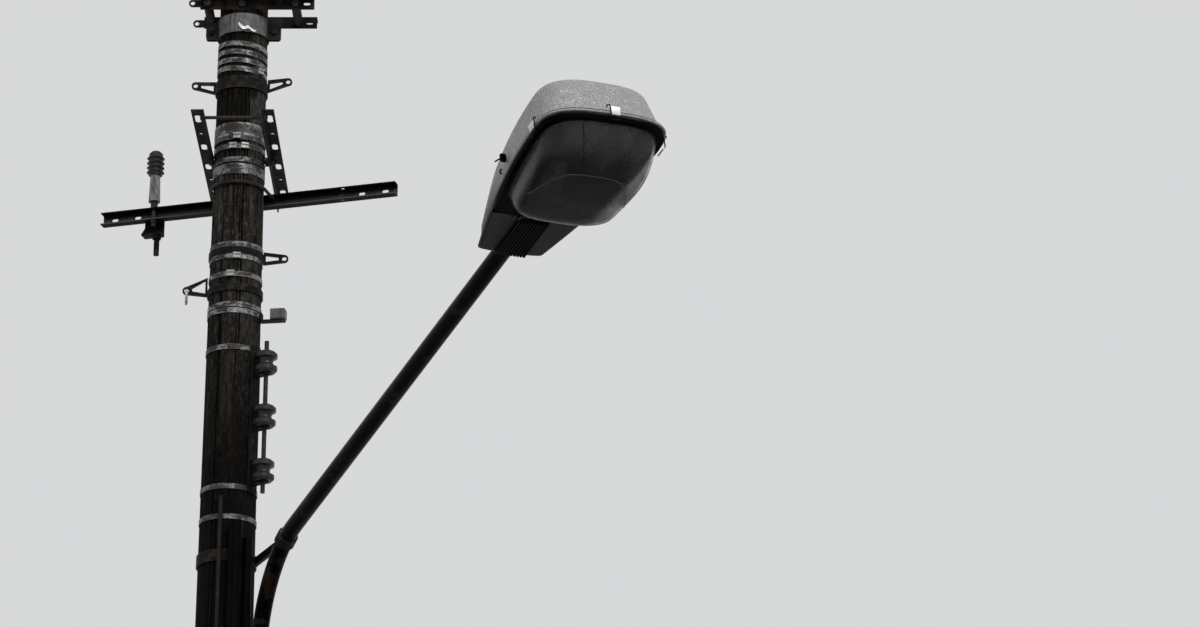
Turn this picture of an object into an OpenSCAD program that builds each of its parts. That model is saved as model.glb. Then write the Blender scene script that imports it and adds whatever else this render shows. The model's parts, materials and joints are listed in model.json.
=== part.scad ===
// Wooden utility pole with steel arms, strapping, risers and a street lamp on a bent pipe arm.
// The origin is at the centre of the pole at the ground line, +Z is up and -Y is the front.

/* [Pole] */
// Height of the pole above the ground line
pole_h = 8600; // [8450:10:9400]
// Diameter at the ground line
ground_d = 270; // [255:1:285]
// Diameter at the top
top_d = 170; // [160:1:180]
// Height of the bevelled top
roof_h = 25; // [10:1:40]
// Depth of the flats that the top arms sit in
gain_depth = 8; // [5:0.5:12]

/* [Top arms] */
// Distance from the pole's top down to the lower edge of the top arms
top_arm_drop = 408; // [370:1:420]
// Leg of the angle that the top arms are made of
top_arm_leg = 45; // [38:1:55]
// Thickness of that angle
top_arm_t = 5; // [4:0.5:6]
// How far the top arms reach to the right of the pole's centre
top_arm_right = 260; // [240:1:320]
// How far the top arms reach to the left of the pole's centre
top_arm_left = 152; // [145:1:180]
// Length of the slots near the ends of the top arms
top_slot_l = 24; // [20:1:32]
// Width of those slots
top_slot_w = 11; // [9:0.5:13]
// Distance from an arm's end to the middle of its slot
top_slot_inset = 27; // [24:1:34]
// Distance of the right spacer from the pole's centre
spacer_x = 192; // [180:1:210]
// Diameter of the spacer tubes between the top arms
spacer_d = 33; // [28:1:36]
// Length of the clevis plates at the left ends
clevis_l = 70; // [62:1:80]

/* [Side arms] */
// Distance from the pole's top down to the middle of the side arms
side_arm_drop = 972; // [960:1:985]
// Length of the side arms
side_arm_l = 840; // [800:10:960]
// Leg of the angle that the side arms are made of
side_arm_leg = 45; // [40:1:50]
// Thickness of that angle
side_arm_t = 5; // [4:0.5:6]
// Length of the spacer tube behind the right arm
side_spacer_l = 14; // [8:1:20]
// Diameter of the round hole in each half of a side arm
side_hole_d = 17; // [14:0.5:18]
// Distance of that hole from the middle of the arm
side_hole_y = 210; // [190:5:230]
// Width of the slots in the side arms
side_slot_w = 21; // [18:0.5:22]
// Length of the outer slots
side_slot_l = 70; // [60:1:80]
// Length of the inner slots
inner_slot_l = 57; // [50:1:60]
// Distance of the spacer rods from the side arms' ends
rod_inset = 22; // [18:1:26]

/* [Main crossarm] */
// Distance from the middle of the side arms down to the lower face of the crossarm
crossarm_below = 148; // [142:1:156]
// Length of the crossarm
crossarm_l = 1120; // [1000:10:1400]
// Height of the channel
crossarm_h = 46; // [42:1:52]
// Width of the channel's flanges
crossarm_w = 34; // [30:1:40]
// Wall of the channel
crossarm_t = 4; // [3:0.5:5]
// Turn of the crossarm, its right end towards the front
crossarm_yaw = 15.5; // [0:0.5:25]
// Depth that the flanges are cut to fit the pole
cope_depth = 8; // [5:0.5:11]
// Distance from the crossarm's end to its nearest slot
crossarm_slot_inset = 45; // [35:1:60]
// Distance between the slots at one end of the crossarm
crossarm_slot_pitch = 88; // [80:1:100]

/* [Crossarm insulator] */
// Distance of the insulator from the middle of the crossarm
insulator_x = 360; // [330:5:385]
// Greatest diameter of the insulator's ribs
insulator_d = 64; // [58:1:70]
// Height of the ribbed head
insulator_head_h = 92; // [80:1:110]
// Height of the plain tapered body
insulator_body_h = 104; // [95:1:112]
// Number of ribs on the head
insulator_ribs = 4; // [3:1:5]

/* [Strapping] */
// Thickness of the steel strapping
strap_t = 1.5; // [1:0.1:2]
// Width of the narrow straps
strap_w = 18; // [14:1:20]
// Width of the wide bands
wide_band_w = 38; // [32:1:40]
// Width of the second band over the side arms
second_band_w = 25; // [20:1:26]
// Width of a buckle along its strap
buckle_l = 26; // [20:1:32]
// Depth of a buckle
buckle_d = 7; // [5:0.5:9]

/* [Eye bands] */
// Distance from the pole's top down to the upper eye band
upper_eye_drop = 695; // [690:1:702]
// Distance from the pole's top down to the lower eye band
lower_eye_drop = 1346; // [1340:1:1354]
// Distance from the pole's top down to the hook band
hook_band_drop = 1487; // [1480:1:1495]
// Width of the upper eye band
eye_band_w = 44; // [36:1:46]
// Width of the lower eye band and the hook band
slim_band_w = 24; // [20:1:26]
// Thickness of the eye bands
eye_band_t = 5; // [4:0.5:6]
// Reach of an eye plate from the pole's face
eye_reach = 88; // [75:1:100]
// Thickness of the eye plates
eye_plate_t = 10; // [8:1:14]
// Diameter of the eye at the tip of a plate
eye_d = 17; // [14:1:18]

/* [Rack and boxes] */
// Distance from the pole's top down to the lowest spool
rack_drop = 2170; // [2150:5:2180]
// Distance between spools
spool_pitch = 200; // [170:5:205]
// Number of spools
spool_count = 3; // [2:1:3]
// Diameter of a spool
spool_d = 78; // [70:1:86]
// Height of a spool
spool_h = 76; // [66:1:84]
// Direction of the rack round the pole
rack_angle = -34; // [-40:1:-30]
// Height and width of the small terminal box
box_s = 40; // [36:1:46]
// Depth of the terminal box
box_l = 50; // [44:1:58]

/* [Risers] */
// Outer diameter of the large riser
riser_large_d = 48; // [42:1:49]
// Outer diameter of the small riser
riser_small_d = 34; // [30:1:35]
// Outer diameter of the earth wire's cover
earth_d = 14; // [12:1:18]
// Distance from the pole's top down to the mouth of the large riser
riser_large_drop = 2365; // [2360:5:2450]
// Distance from the pole's top down to the mouth of the small riser
riser_small_drop = 2420; // [2400:5:2500]
// Distance from the pole's top down to the end of the earth wire's cover
earth_drop = 2270; // [2255:5:2290]
// Depth of the risers' open mouths
mouth_depth = 60; // [40:5:80]
// Number of clips on each riser
clip_count = 6; // [4:1:7]

/* [Lamp arm] */
// Outer diameter of the lamp arm's pipe
pipe_d = 57; // [50:1:60]
// Wall of that pipe
pipe_t = 3.5; // [3:0.5:5]
// Distance from the pole's top down to the lower end of the pipe
pipe_foot_drop = 3270; // [3240:5:3300]
// Distance from the pole's top down to the start of the pipe's bend
bend_drop = 2849; // [2840:1:2860]
// Radius of the pipe's bend
bend_r = 405; // [380:5:430]
// Rise of the straight pipe and the lamp above level
lamp_tilt = 12; // [8:0.5:18]
// Length of the straight pipe up to the lamp's back wall
pipe_l = 1814; // [1700:2:1900]
// Turn of the lamp arm from the front towards the right
lamp_heading = 25; // [21:0.5:29]
// Direction of the pipe's foot round the pole
foot_angle = -26; // [-27:0.5:-24]
// Turn of the lamp about its pipe, its right side upwards
lamp_roll = 2.4; // [0:0.2:5]
// Height of the pipe's bracket bands
bracket_w = 50; // [40:1:60]

/* [Lamp] */
// Length of the lamp's housing
lamp_l = 772; // [760:1:790]
// Width of the housing at its widest
lamp_w = 405; // [396:1:420]
// Width of the housing at its back wall
lamp_back_w = 204; // [196:2:216]
// Height of the housing at its back wall
lamp_back_h = 78; // [72:1:90]
// Height of the housing at the nose
lamp_nose_h = 155; // [148:1:162]
// Wall of the housing
lamp_wall = 4; // [3:0.5:5]
// Height of the pipe's centre over the housing's lower rim
pipe_lift = 32; // [31:0.5:38]
// Distance from the back wall to the hinge of the bowl's frame
hinge_x = 214; // [205:1:225]
// Depth of the glass bowl below its frame
bowl_depth = 103; // [96:1:110]
// Wall of the glass bowl
bowl_t = 4; // [3:0.5:5]
// Height of the bowl's frame
frame_h = 12; // [10:1:14]
// Number of fins under the neck
fin_count = 10; // [7:1:11]
// Depth of those fins
fin_h = 9; // [6:0.5:11]

/* [Hidden] */
$fn = 48;
// Gap between pieces that seat on each other
seat_gap = 0.3;
// Gap between the lengths of the bent pipe
hairline = 0.1;
far = 400;
root_r = 4;
side_hole_x = side_arm_leg * 0.58;
inner_slot_y = 90;
rod_d = 12;
rod_y = side_arm_l / 2 - rod_inset;
bolt_d = 16;
hex_ratio = 0.85;
bolt_head_d = 2 * hex_ratio * bolt_d;
bolt_head_h = 10;
bolt_end = 24;
top_arm_z = pole_h - top_arm_drop;
side_arm_z = pole_h - side_arm_drop;
crossarm_z = side_arm_z - crossarm_below;
upper_eye_z = pole_h - upper_eye_drop;
lower_eye_z = pole_h - lower_eye_drop;
hook_band_z = pole_h - hook_band_drop;
rack_z = pole_h - rack_drop;
riser_large_top = pole_h - riser_large_drop;
riser_small_top = pole_h - riser_small_drop;
earth_top = pole_h - earth_drop;
pipe_foot_z = pole_h - pipe_foot_drop;
bend_z = pole_h - bend_drop;
top_z = top_arm_z + top_arm_leg;
gain_y = pole_r(top_z) - gain_depth;
top_bolt_z = top_arm_z + 21;
side_arm_x = pole_r(side_arm_z - side_arm_leg) + seat_gap + strap_t + seat_gap;
crossarm_toe_y = pole_r(crossarm_z) - cope_depth;
crossarm_web_y = crossarm_toe_y + crossarm_w - crossarm_t;
// Heights of the middles of the bands and straps, from the pieces that they hold
top_band_z = top_arm_z - 54;
top_band_w = 72;
top_lug_reach = 46;
clamp_gap = 12;
clamp_bolt_d = 12;
clamp_lug_reach = 32;
upper_strap_z = [for (i = [0:3]) top_arm_z - 136 - i * 33];
wide_band_z = side_arm_z + 98;
second_band_z = side_arm_z + 64;
middle_strap_z = [for (dz = [26, -25, -51, -71]) side_arm_z + dz];
strap_step = (slim_band_w + strap_w) / 2 + 2;
lower_strap_z = [lower_eye_z + strap_step, lower_eye_z - strap_step];
hook_strap_z = hook_band_z + 50;
box_band_z = [hook_band_z - 65, hook_band_z - 88];
left_eye_z = upper_eye_z + 20;
right_eye_z = upper_eye_z + 36;
hook_eye_z = hook_band_z + 12;
hook_root_z = hook_band_z + 28;
eye_root_h = 48;
hook_root_h = 72;
u_bolt_z = crossarm_z + crossarm_h / 2 + 10;
u_bolt_d = 12;
hook_angle = 186;
box_gap = 36;
hook_ring_r = 22;
hook_ring_t = 10;
riser_gap = 7;
riser_wall = 3;
earth_wall = 2;
foot_gap = 6;
u_bolt_r = pole_r(crossarm_z) + seat_gap + u_bolt_d / 2;
foot_r = pole_r(pipe_foot_z) + pipe_d / 2 + foot_gap;
clevis_t = 6;
hanger_l = 74;
hanger_t = 5;
hanger_drop = 60;
hanger_reach = 34;
stub_d = 20;
stub_l = 76;
pin_collar_h = 26;
hanger_x = insulator_x + 40;
pin_in_body = 50;
rack_x = pole_r(rack_z - spool_pitch / 2) + 2 * seat_gap + strap_t;
rack_depth = 70;
rack_t = 5;
rack_w = 48;
ear_w = 32;
rod_x = rack_depth - 20;
rack_end = spool_h / 2 + 34;
rack_top = rack_z + (spool_count - 1) * spool_pitch + rack_end;
rack_low = rack_z - rack_end;
rack_band_inset = 14;
pale_band_z = [rack_low + rack_band_inset, rack_low - 96];
large_angle = -72;
small_angle = -50;
earth_angle = -98;
clip_w = 26;
clip_t = 3;
clip_first = 500;
clip_top_gap = 630;
clip_stagger = 60;
slip_l = 120;
stay_sweep = 66;
stay_w = 40;
pin_drop = 11;
hinge_pin_d = 6;
knuckle_r = 7;
hinge_y = 66;
frame_gap = 5;
frame_start = hinge_x + 13;
frame_rim = 20;
bowl_back = frame_start + 46;
lamp_axis_z = 50;
nose_start = 650;
plan_power = 3;
plan_steps = 8;
back_round = 14;
nose_round = lamp_l - nose_start;
bowl_back_round = 96;
shoulder = 0.84;
side_lean = 30;
nose_lean = 45;
crown_r = 24;
crown_start = 290;
shell_shares = [0.4, 0.84, 0.9, 0.95, 0.985, 1];
// Slices of the bowl: share of its depth, inset at the sides, back and nose, share of the corner radii
bowl_slices = [[0.46, 2, 20, 31, 1], [0.8, 5, 44, 87, 0.9], [0.94, 12, 62, 152, 0.75], [1, 24, 88, 241, 0.5]];
lip_out = 3;
lip_h = 6;
cover_z = -2;
cover_t = 3;
lug_w = 8;
latch_w = 34;
latch_x = 680;
hook_latch_x = 499;
fin_pitch = 10.5;

function pole_r(z) = ground_d / 2 - (ground_d - top_d) / 2 * z / pole_h;

// Section of an angle with its corner at the origin and a rounded root
module angle_section(w, h, t) {
    difference() {
        union() {
            square([t, h]);
            square([w, t]);
            square([t + root_r, t + root_r]);
        }
        translate([t + root_r, t + root_r])
            circle(r = root_r, $fn = 24);
    }
}

// Section of a channel that is open on the left, with rounded roots
module channel_section(w, h, t) {
    difference() {
        square([w, h]);
        translate([-1, t])
            square([w - t - root_r + 1, h - 2 * t]);
        translate([-1, t + root_r])
            square([w - t + 1, h - 2 * (t + root_r)]);
        for (y = [t + root_r, h - t - root_r])
            translate([w - t - root_r, y])
                circle(r = root_r, $fn = 24);
    }
}

// Rectangle with rounded corners that starts at the origin
module rounded_rect(l, w, r) {
    translate([r, 0])
        square([l - 2 * r, w]);
    translate([0, r])
        square([l, w - 2 * r]);
    for (x = [r, l - r], y = [r, w - r])
        translate([x, y])
            circle(r = r, $fn = 24);
}

// Extrudes a section along X, its X to Y and its Y to Z
module along_x(l) {
    rotate([90, 0, 90])
        linear_extrude(l)
            children();
}

// Solid that follows the pole's surface with extra radius from z0 to z1
module pole_sleeve(extra, z0, z1) {
    translate([0, 0, z0])
        cylinder(h = z1 - z0, r1 = pole_r(z0) + extra, r2 = pole_r(z1) + extra, $fn = 64);
}

// Band of thickness t and width w round the pole at height z
module band(z, w, t) {
    difference() {
        pole_sleeve(seat_gap + t, z - w / 2, z + w / 2);
        pole_sleeve(seat_gap, z - w / 2 - 1, z + w / 2 + 1);
    }
}

// Strap round the pole whose plane leans by tilt towards the direction az
module leaning_strap(z, w, t, tilt, az) {
    reach = 40 + w;
    intersection() {
        band(z, 2 * reach, t);
        translate([0, 0, z])
            rotate([0, tilt, az])
                translate([-far / 2, -far / 2, -w / 2])
                    cube([far, far, w]);
    }
}

// Bolt of diameter d along +Y from y0 to y1, with a head at y0 and a nut at y1
module bolt_y(x, z, y0, y1, d) {
    translate([x, y0, z])
        rotate([-90, 0, 0]) {
            cylinder(h = y1 - y0 + bolt_end * d / bolt_d, r = d / 2);
            translate([0, 0, -d * 0.65])
                cylinder(h = d * 0.65, r = d * hex_ratio, $fn = 6);
            translate([0, 0, y1 - y0])
                cylinder(h = d * 0.8, r = d * hex_ratio, $fn = 6);
        }
}

// Slot along X through a wall that is crossed along Y
module slot_y(x, z, l, w, y0, y1) {
    for (side = [-1, 1])
        translate([x + side * (l - w) / 2, y0, z])
            rotate([-90, 0, 0])
                cylinder(h = y1 - y0, r = w / 2);
    translate([x - (l - w) / 2, y0, z - w / 2])
        cube([l - w, y1 - y0, w]);
}

module bore_y(x, z, d, y0, y1) {
    translate([x, y0, z])
        rotate([-90, 0, 0])
            cylinder(h = y1 - y0, r = d / 2);
}

module bore_x(y, z, d, x0, x1) {
    translate([x0, y, z])
        rotate([0, 90, 0])
            cylinder(h = x1 - x0, r = d / 2);
}

module pole_shaft() {
    color("dimgray")
        difference() {
            union() {
                pole_sleeve(0, 0, pole_h - roof_h);
                translate([0, 0, pole_h - roof_h])
                    cylinder(h = roof_h, r1 = pole_r(pole_h - roof_h), r2 = pole_r(pole_h) - roof_h, $fn = 64);
            }
            for (side = [0, 1])
                mirror([0, side, 0])
                    translate([-far / 2, gain_y, top_arm_z])
                        cube([far, far, top_arm_leg]);
            bore_y(0, top_bolt_z, bolt_d + 2 * seat_gap, -far, far);
            bore_x(0, side_arm_z, bolt_d + 2 * seat_gap, -far, far);
        }
}

// Angle along X with its upright leg on the plane y = gain_y
module top_arm() {
    x0 = -top_arm_left;
    l = top_arm_left + top_arm_right;
    difference() {
        translate([x0, gain_y, top_z])
            along_x(l)
                mirror([0, 1, 0])
                    angle_section(top_arm_leg, top_arm_leg, top_arm_t);
        for (x = [0, spacer_x, x0 + top_slot_inset])
            bore_y(x, top_bolt_z, bolt_d + 2 * seat_gap, gain_y - 1, gain_y + top_arm_t + 1);
        slot_y(top_arm_right - top_slot_inset, top_bolt_z, top_slot_l, top_slot_w,
            gain_y - 1, gain_y + top_arm_t + 1);
    }
}

module top_arm_front() {
    color("slategray")
        mirror([0, 1, 0])
            top_arm();
}

module top_arm_back() {
    color("slategray")
        top_arm();
}

module top_arm_bolts() {
    reach = gain_y + top_arm_t;
    clevis = clevis_t + 0.6;
    color("gray") {
        bolt_y(0, top_bolt_z, -reach, reach, bolt_d);
        bolt_y(spacer_x, top_bolt_z, -reach, reach, bolt_d);
        bolt_y(top_slot_inset - top_arm_left, top_bolt_z, -reach - clevis, reach + clevis, bolt_d);
    }
}

module top_arm_spacers() {
    color("darkgray")
        for (x = [spacer_x, top_slot_inset - top_arm_left])
            difference() {
                bore_y(x, top_bolt_z, spacer_d, -gain_y + seat_gap, gain_y - seat_gap);
                bore_y(x, top_bolt_z, bolt_d + 2 * seat_gap, -gain_y, gain_y);
            }
}

// Plate with two holes on the outer face of a top arm, reaching left past its end
module clevis_plate(y) {
    x0 = top_slot_inset - top_arm_left;
    difference() {
        union() {
            bore_y(x0, top_bolt_z, 2 * clevis_t + bolt_d, y, y + clevis_t);
            bore_y(x0 - clevis_l + bolt_d, top_bolt_z, 2 * clevis_t + bolt_d, y, y + clevis_t);
            translate([x0 - clevis_l + bolt_d, y, top_bolt_z - clevis_t - bolt_d / 2])
                cube([clevis_l - bolt_d, clevis_t, 2 * clevis_t + bolt_d]);
        }
        bore_y(x0, top_bolt_z, bolt_d + 2 * seat_gap, y - 1, y + clevis_t + 1);
        bore_y(x0 - clevis_l + bolt_d, top_bolt_z, bolt_d, y - 1, y + clevis_t + 1);
    }
}

module strain_clevises() {
    color("silver")
        for (side = [0, 1])
            mirror([0, side, 0])
                clevis_plate(gain_y + top_arm_t + seat_gap);
}

// Slot of length l along Y through a wall that is crossed along Z
module slot_z(x, y, l, w, z0, z1) {
    for (side = [-1, 1])
        translate([x, y + side * (l - w) / 2, z0])
            cylinder(h = z1 - z0, r = w / 2);
    translate([x - w / 2, y - (l - w) / 2, z0])
        cube([w, l - w, z1 - z0]);
}

// Angle along Y with its upright leg on the plane x = inner_x
module side_arm(inner_x) {
    z0 = side_arm_z - side_arm_leg / 2;
    low = z0 + side_arm_leg - side_arm_t - 1;
    high = z0 + side_arm_leg + 1;
    hole_x = inner_x + side_hole_x;
    outer_slot_y = rod_y - rod_inset - side_slot_l / 2;
    difference() {
        translate([inner_x, side_arm_l / 2, z0 + side_arm_leg])
            rotate([90, 0, 0])
                linear_extrude(side_arm_l)
                    mirror([0, 1, 0])
                        angle_section(side_arm_leg, side_arm_leg, side_arm_t);
        bore_x(0, side_arm_z, bolt_d + 2 * seat_gap, inner_x - 1, inner_x + side_arm_t + 1);
        for (side = [-1, 1]) {
            bore_x(side * rod_y, side_arm_z, rod_d + 2 * seat_gap, inner_x - 1, inner_x + side_arm_t + 1);
            slot_z(hole_x, side * outer_slot_y, side_slot_l, side_slot_w, low, high);
            slot_z(hole_x, side * inner_slot_y, inner_slot_l, side_slot_w, low, high);
            translate([hole_x, side * side_hole_y, low])
                cylinder(h = high - low, r = side_hole_d / 2);
        }
    }
}

module side_arm_left() {
    color("slategray")
        mirror([1, 0, 0])
            side_arm(side_arm_x);
}

module side_arm_right() {
    color("slategray")
        side_arm(side_arm_x + side_spacer_l + seat_gap);
}

module side_arm_bolts() {
    x0 = side_arm_x + side_arm_t;
    x1 = x0 + side_spacer_l + seat_gap;
    color("gray") {
        translate([0, 0, side_arm_z])
            rotate([0, 0, -90]) {
                bolt_y(0, 0, -x0, x1, bolt_d);
                for (side = [-1, 1])
                    bolt_y(side * rod_y, 0, -x0, x1, rod_d);
            }
        difference() {
            bore_x(0, side_arm_z, spacer_d, side_arm_x, side_arm_x + side_spacer_l);
            bore_x(0, side_arm_z, bolt_d + 2 * seat_gap, 0, far);
        }
    }
}

// Moves its children into the crossarm's turned frame
module crossarm_frame() {
    rotate([0, 0, -crossarm_yaw])
        children();
}

module main_crossarm() {
    y0 = crossarm_toe_y;
    color("slategray")
        crossarm_frame()
            difference() {
                translate([-crossarm_l / 2, y0, crossarm_z])
                    along_x(crossarm_l)
                        channel_section(crossarm_w, crossarm_h, crossarm_t);
                pole_sleeve(seat_gap, crossarm_z - 1, crossarm_z + crossarm_h + 1);
                for (side = [-1, 1], i = [0, 1])
                    slot_y(side * (crossarm_l / 2 - crossarm_slot_inset - i * crossarm_slot_pitch),
                        crossarm_z + crossarm_h / 2, top_slot_l, top_slot_w, crossarm_web_y - 1, far);
                for (side = [-1, 1])
                    bore_y(side * u_bolt_r, u_bolt_z, u_bolt_d + 2 * seat_gap, crossarm_web_y - 1, far);
                for (side = [-1, 1])
                    translate([side * insulator_x, y0 + crossarm_w / 2 - crossarm_t / 2, crossarm_z - 1])
                        cylinder(h = crossarm_h + 2, r = bolt_d / 2 + seat_gap);
            }
}

module crossarm_u_bolt() {
    tail = crossarm_toe_y + crossarm_w;
    color("gray")
        crossarm_frame() {
            translate([0, 0, u_bolt_z])
                rotate([0, 0, 180])
                    rotate_extrude(angle = 180)
                        translate([u_bolt_r, 0])
                            circle(r = u_bolt_d / 2, $fn = 24);
            for (side = [-1, 1])
                bore_y(side * u_bolt_r, u_bolt_z, u_bolt_d, 0, tail + bolt_end);
            for (side = [-1, 1])
                translate([side * u_bolt_r, tail, u_bolt_z])
                    rotate([-90, 0, 0])
                        cylinder(h = bolt_head_h, r = u_bolt_d, $fn = 6);
        }
}

// Moves its children to the insulator's seat on top of the crossarm
module insulator_seat() {
    crossarm_frame()
        translate([-insulator_x, crossarm_toe_y + (crossarm_w - crossarm_t) / 2, crossarm_z + crossarm_h])
            children();
}

module insulator_pin() {
    pin_top = pin_collar_h + pin_in_body;
    color("gray")
        insulator_seat() {
            translate([0, 0, -crossarm_h - bolt_end])
                cylinder(h = crossarm_h + bolt_end + pin_top, r = bolt_d / 2);
            cylinder(h = pin_collar_h, r = bolt_d * 0.8);
            translate([0, 0, -crossarm_h - bolt_head_h])
                cylinder(h = bolt_head_h, r = bolt_head_d / 2, $fn = 6);
        }
}

module insulator_body() {
    color("gainsboro")
        insulator_seat()
            translate([0, 0, pin_collar_h])
                difference() {
                    cylinder(h = insulator_body_h, r1 = insulator_d * 0.33, r2 = insulator_d * 0.28);
                    translate([0, 0, -1])
                        cylinder(h = pin_in_body + 1 + seat_gap, r = bolt_d / 2 + seat_gap);
                }
}

module insulator_head() {
    pitch = insulator_head_h / (insulator_ribs + 1);
    r = insulator_d / 2;
    color("dimgray")
        insulator_seat()
            translate([0, 0, pin_collar_h + insulator_body_h]) {
                cylinder(h = insulator_head_h - pitch / 2, r = r * 0.78);
                for (i = [0:insulator_ribs - 1])
                    translate([0, 0, pitch * (i + 0.25)]) {
                        cylinder(h = pitch * 0.3, r1 = r * 0.8, r2 = r);
                        translate([0, 0, pitch * 0.3])
                            cylinder(h = pitch * 0.35, r1 = r, r2 = r * 0.8);
                    }
                translate([0, 0, insulator_head_h - pitch / 2])
                    cylinder(h = pitch / 2, r1 = r * 0.78, r2 = r * 0.5);
            }
}

// Bent plate behind the crossarm with a gusset and a short bare stub of rod
module crossarm_hanger() {
    x0 = -hanger_x;
    y0 = crossarm_toe_y + crossarm_w;
    low = crossarm_z - hanger_drop;
    color("dimgray")
        crossarm_frame() {
            translate([x0, y0 + hanger_t, low])
                along_x(hanger_l)
                    mirror([1, 0, 0])
                        angle_section(hanger_reach + hanger_t, hanger_drop + crossarm_h - 6, hanger_t);
            translate([x0, y0, low + hanger_t])
                along_x(hanger_t)
                    polygon([[0, 0], [-hanger_reach, 0], [0, hanger_drop * 0.6]]);
            translate([x0 + hanger_l - 20, y0 - hanger_reach / 2, low - stub_l])
                cylinder(h = stub_l, r = stub_d / 2);
            translate([x0 + hanger_l - 20, y0 - hanger_reach / 2, low - bolt_head_h - 4])
                cylinder(h = bolt_head_h + 4, r = stub_d * 0.85, $fn = 6);
        }
}

module upper_straps() {
    color("silver")
        for (i = [0:len(upper_strap_z) - 1])
            leaning_strap(upper_strap_z[i], strap_w, strap_t, 5 + (i % 2), 0);
}

// Ends of a clamp's halves in the direction az, bolted together across a gap
module clamp_ends(z, w, t, reach, d, az) {
    r = pole_r(z - w / 2) + seat_gap;
    lug_h = w - 8;
    bolt_x = r + t + (reach - t) / 2;
    rotate([0, 0, az]) {
        for (side = [0, 1])
            mirror([0, side, 0])
                translate([r + 1, clamp_gap / 2 + t, z - lug_h / 2])
                    rotate([90, 0, 0])
                        linear_extrude(t)
                            difference() {
                                union() {
                                    square([reach / 2, lug_h]);
                                    rounded_rect(reach, lug_h, 10);
                                }
                                translate([bolt_x - r - 1, lug_h / 2])
                                    circle(r = d / 2 + seat_gap);
                            }
        bolt_y(bolt_x, z, -clamp_gap / 2 - t, clamp_gap / 2 + t, d);
    }
}

// Clamp round the pole, split at each direction of the list, with bolted ends
module split_clamp(z, w, t, reach, d, splits) {
    difference() {
        band(z, w, t);
        for (az = splits)
            rotate([0, 0, az])
                translate([0, -clamp_gap / 2, z - w])
                    cube([far, clamp_gap, 2 * w]);
    }
    for (az = splits)
        clamp_ends(z, w, t, reach, d, az);
}

module top_clamp() {
    color("lightgray")
        split_clamp(top_band_z, top_band_w, eye_band_t, top_lug_reach, bolt_d, [0, 180]);
}

module middle_straps() {
    color("silver") {
        band(wide_band_z, wide_band_w, strap_t);
        band(second_band_z, second_band_w, strap_t);
        for (z = middle_strap_z)
            band(z, strap_w, strap_t);
    }
}

module lower_straps() {
    color("silver") {
        for (z = lower_strap_z)
            band(z, strap_w, strap_t);
        for (z = box_band_z)
            band(z, strap_w, strap_t);
        band(hook_strap_z, strap_w, strap_t);
        band(rack_top - rack_band_inset, strap_w, strap_t);
    }
}

// Folded buckle on the strap at height z in the direction az
module buckle(z, az) {
    x0 = pole_r(z - strap_w) + 2 * seat_gap + strap_t;
    h = strap_w + 4;
    rotate([0, 0, az])
        translate([x0, buckle_l / 2, z - h / 2])
            rotate([90, 0, 0])
                linear_extrude(buckle_l)
                    difference() {
                        rounded_rect(buckle_d, h, 2);
                        translate([buckle_d, h / 2])
                            circle(r = h * 0.22, $fn = 24);
                    }
}

module strap_buckles() {
    color("whitesmoke") {
        buckle(second_band_z, -92);
        buckle(middle_strap_z[0], -100);
        buckle(middle_strap_z[0], -74);
        buckle(lower_strap_z[1], -84);
        buckle(hook_strap_z, -96);
        buckle(upper_strap_z[3], -38);
    }
}

module pale_bands() {
    color("whitesmoke")
        for (z = pale_band_z)
            band(z, strap_w, strap_t);
}

// Eye plate in the XZ plane from its root at x0 and z to a round eye at tip_z
module eye_plate(x0, z, tip_z, reach, h) {
    tip_r = eye_d / 2 + 6;
    tip_x = x0 + reach - tip_r;
    neck_x = tip_x - 20;
    neck_z = z + (tip_z - z) * 0.75;
    rotate([90, 0, 0])
        translate([0, 0, -eye_plate_t / 2])
            linear_extrude(eye_plate_t)
                difference() {
                    union() {
                        polygon([[x0, z - h / 2], [tip_x, tip_z - tip_r], [tip_x, tip_z + tip_r],
                            [x0, z + h / 2]]);
                        translate([tip_x, tip_z])
                            circle(r = tip_r);
                    }
                    translate([tip_x, tip_z])
                        circle(r = eye_d / 2);
                    polygon([[x0 + 8, z - h / 2 + 12], [neck_x, neck_z - 6], [neck_x, neck_z + 6],
                        [x0 + 8, z + h / 2 - 12]]);
                }
}

// Distance of a plate's root from the pole's centre on a band of width w
function eye_root(z, w) = pole_r(z + w / 2) + seat_gap + eye_band_t - 1;

// Distance of a plate's eye from the pole's centre
function eye_x(z, w) = eye_root(z, w) + eye_reach - eye_d / 2 - 6;

module upper_eye_band() {
    x0 = eye_root(upper_eye_z, eye_band_w);
    color("gray") {
        split_clamp(upper_eye_z, eye_band_w, eye_band_t, clamp_lug_reach, clamp_bolt_d, [90]);
        rotate([0, 0, 180])
            eye_plate(x0, (upper_eye_z + left_eye_z) / 2, left_eye_z, eye_reach, eye_root_h);
        eye_plate(x0, (upper_eye_z + right_eye_z) / 2, right_eye_z, eye_reach, eye_root_h);
    }
}

module lower_eye_band() {
    color("gray") {
        split_clamp(lower_eye_z, slim_band_w, eye_band_t, clamp_lug_reach, clamp_bolt_d, [90]);
        eye_plate(eye_root(lower_eye_z, slim_band_w), lower_eye_z, lower_eye_z, eye_reach, eye_root_h);
    }
}

module hook_band() {
    color("gray") {
        split_clamp(hook_band_z, slim_band_w, eye_band_t, clamp_lug_reach, clamp_bolt_d, [90]);
        rotate([0, 0, hook_angle])
            eye_plate(eye_root(hook_band_z, slim_band_w), hook_root_z, hook_eye_z, eye_reach, hook_root_h);
    }
}

module hook_ring() {
    color("silver")
        rotate([0, 0, hook_angle])
            translate([eye_x(hook_band_z, slim_band_w), 0, hook_eye_z - hook_ring_r - hook_ring_t / 4])
                rotate([0, 90, 0])
                    rotate_extrude()
                        translate([hook_ring_r, 0])
                            circle(r = hook_ring_t / 2, $fn = 20);
}

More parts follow.
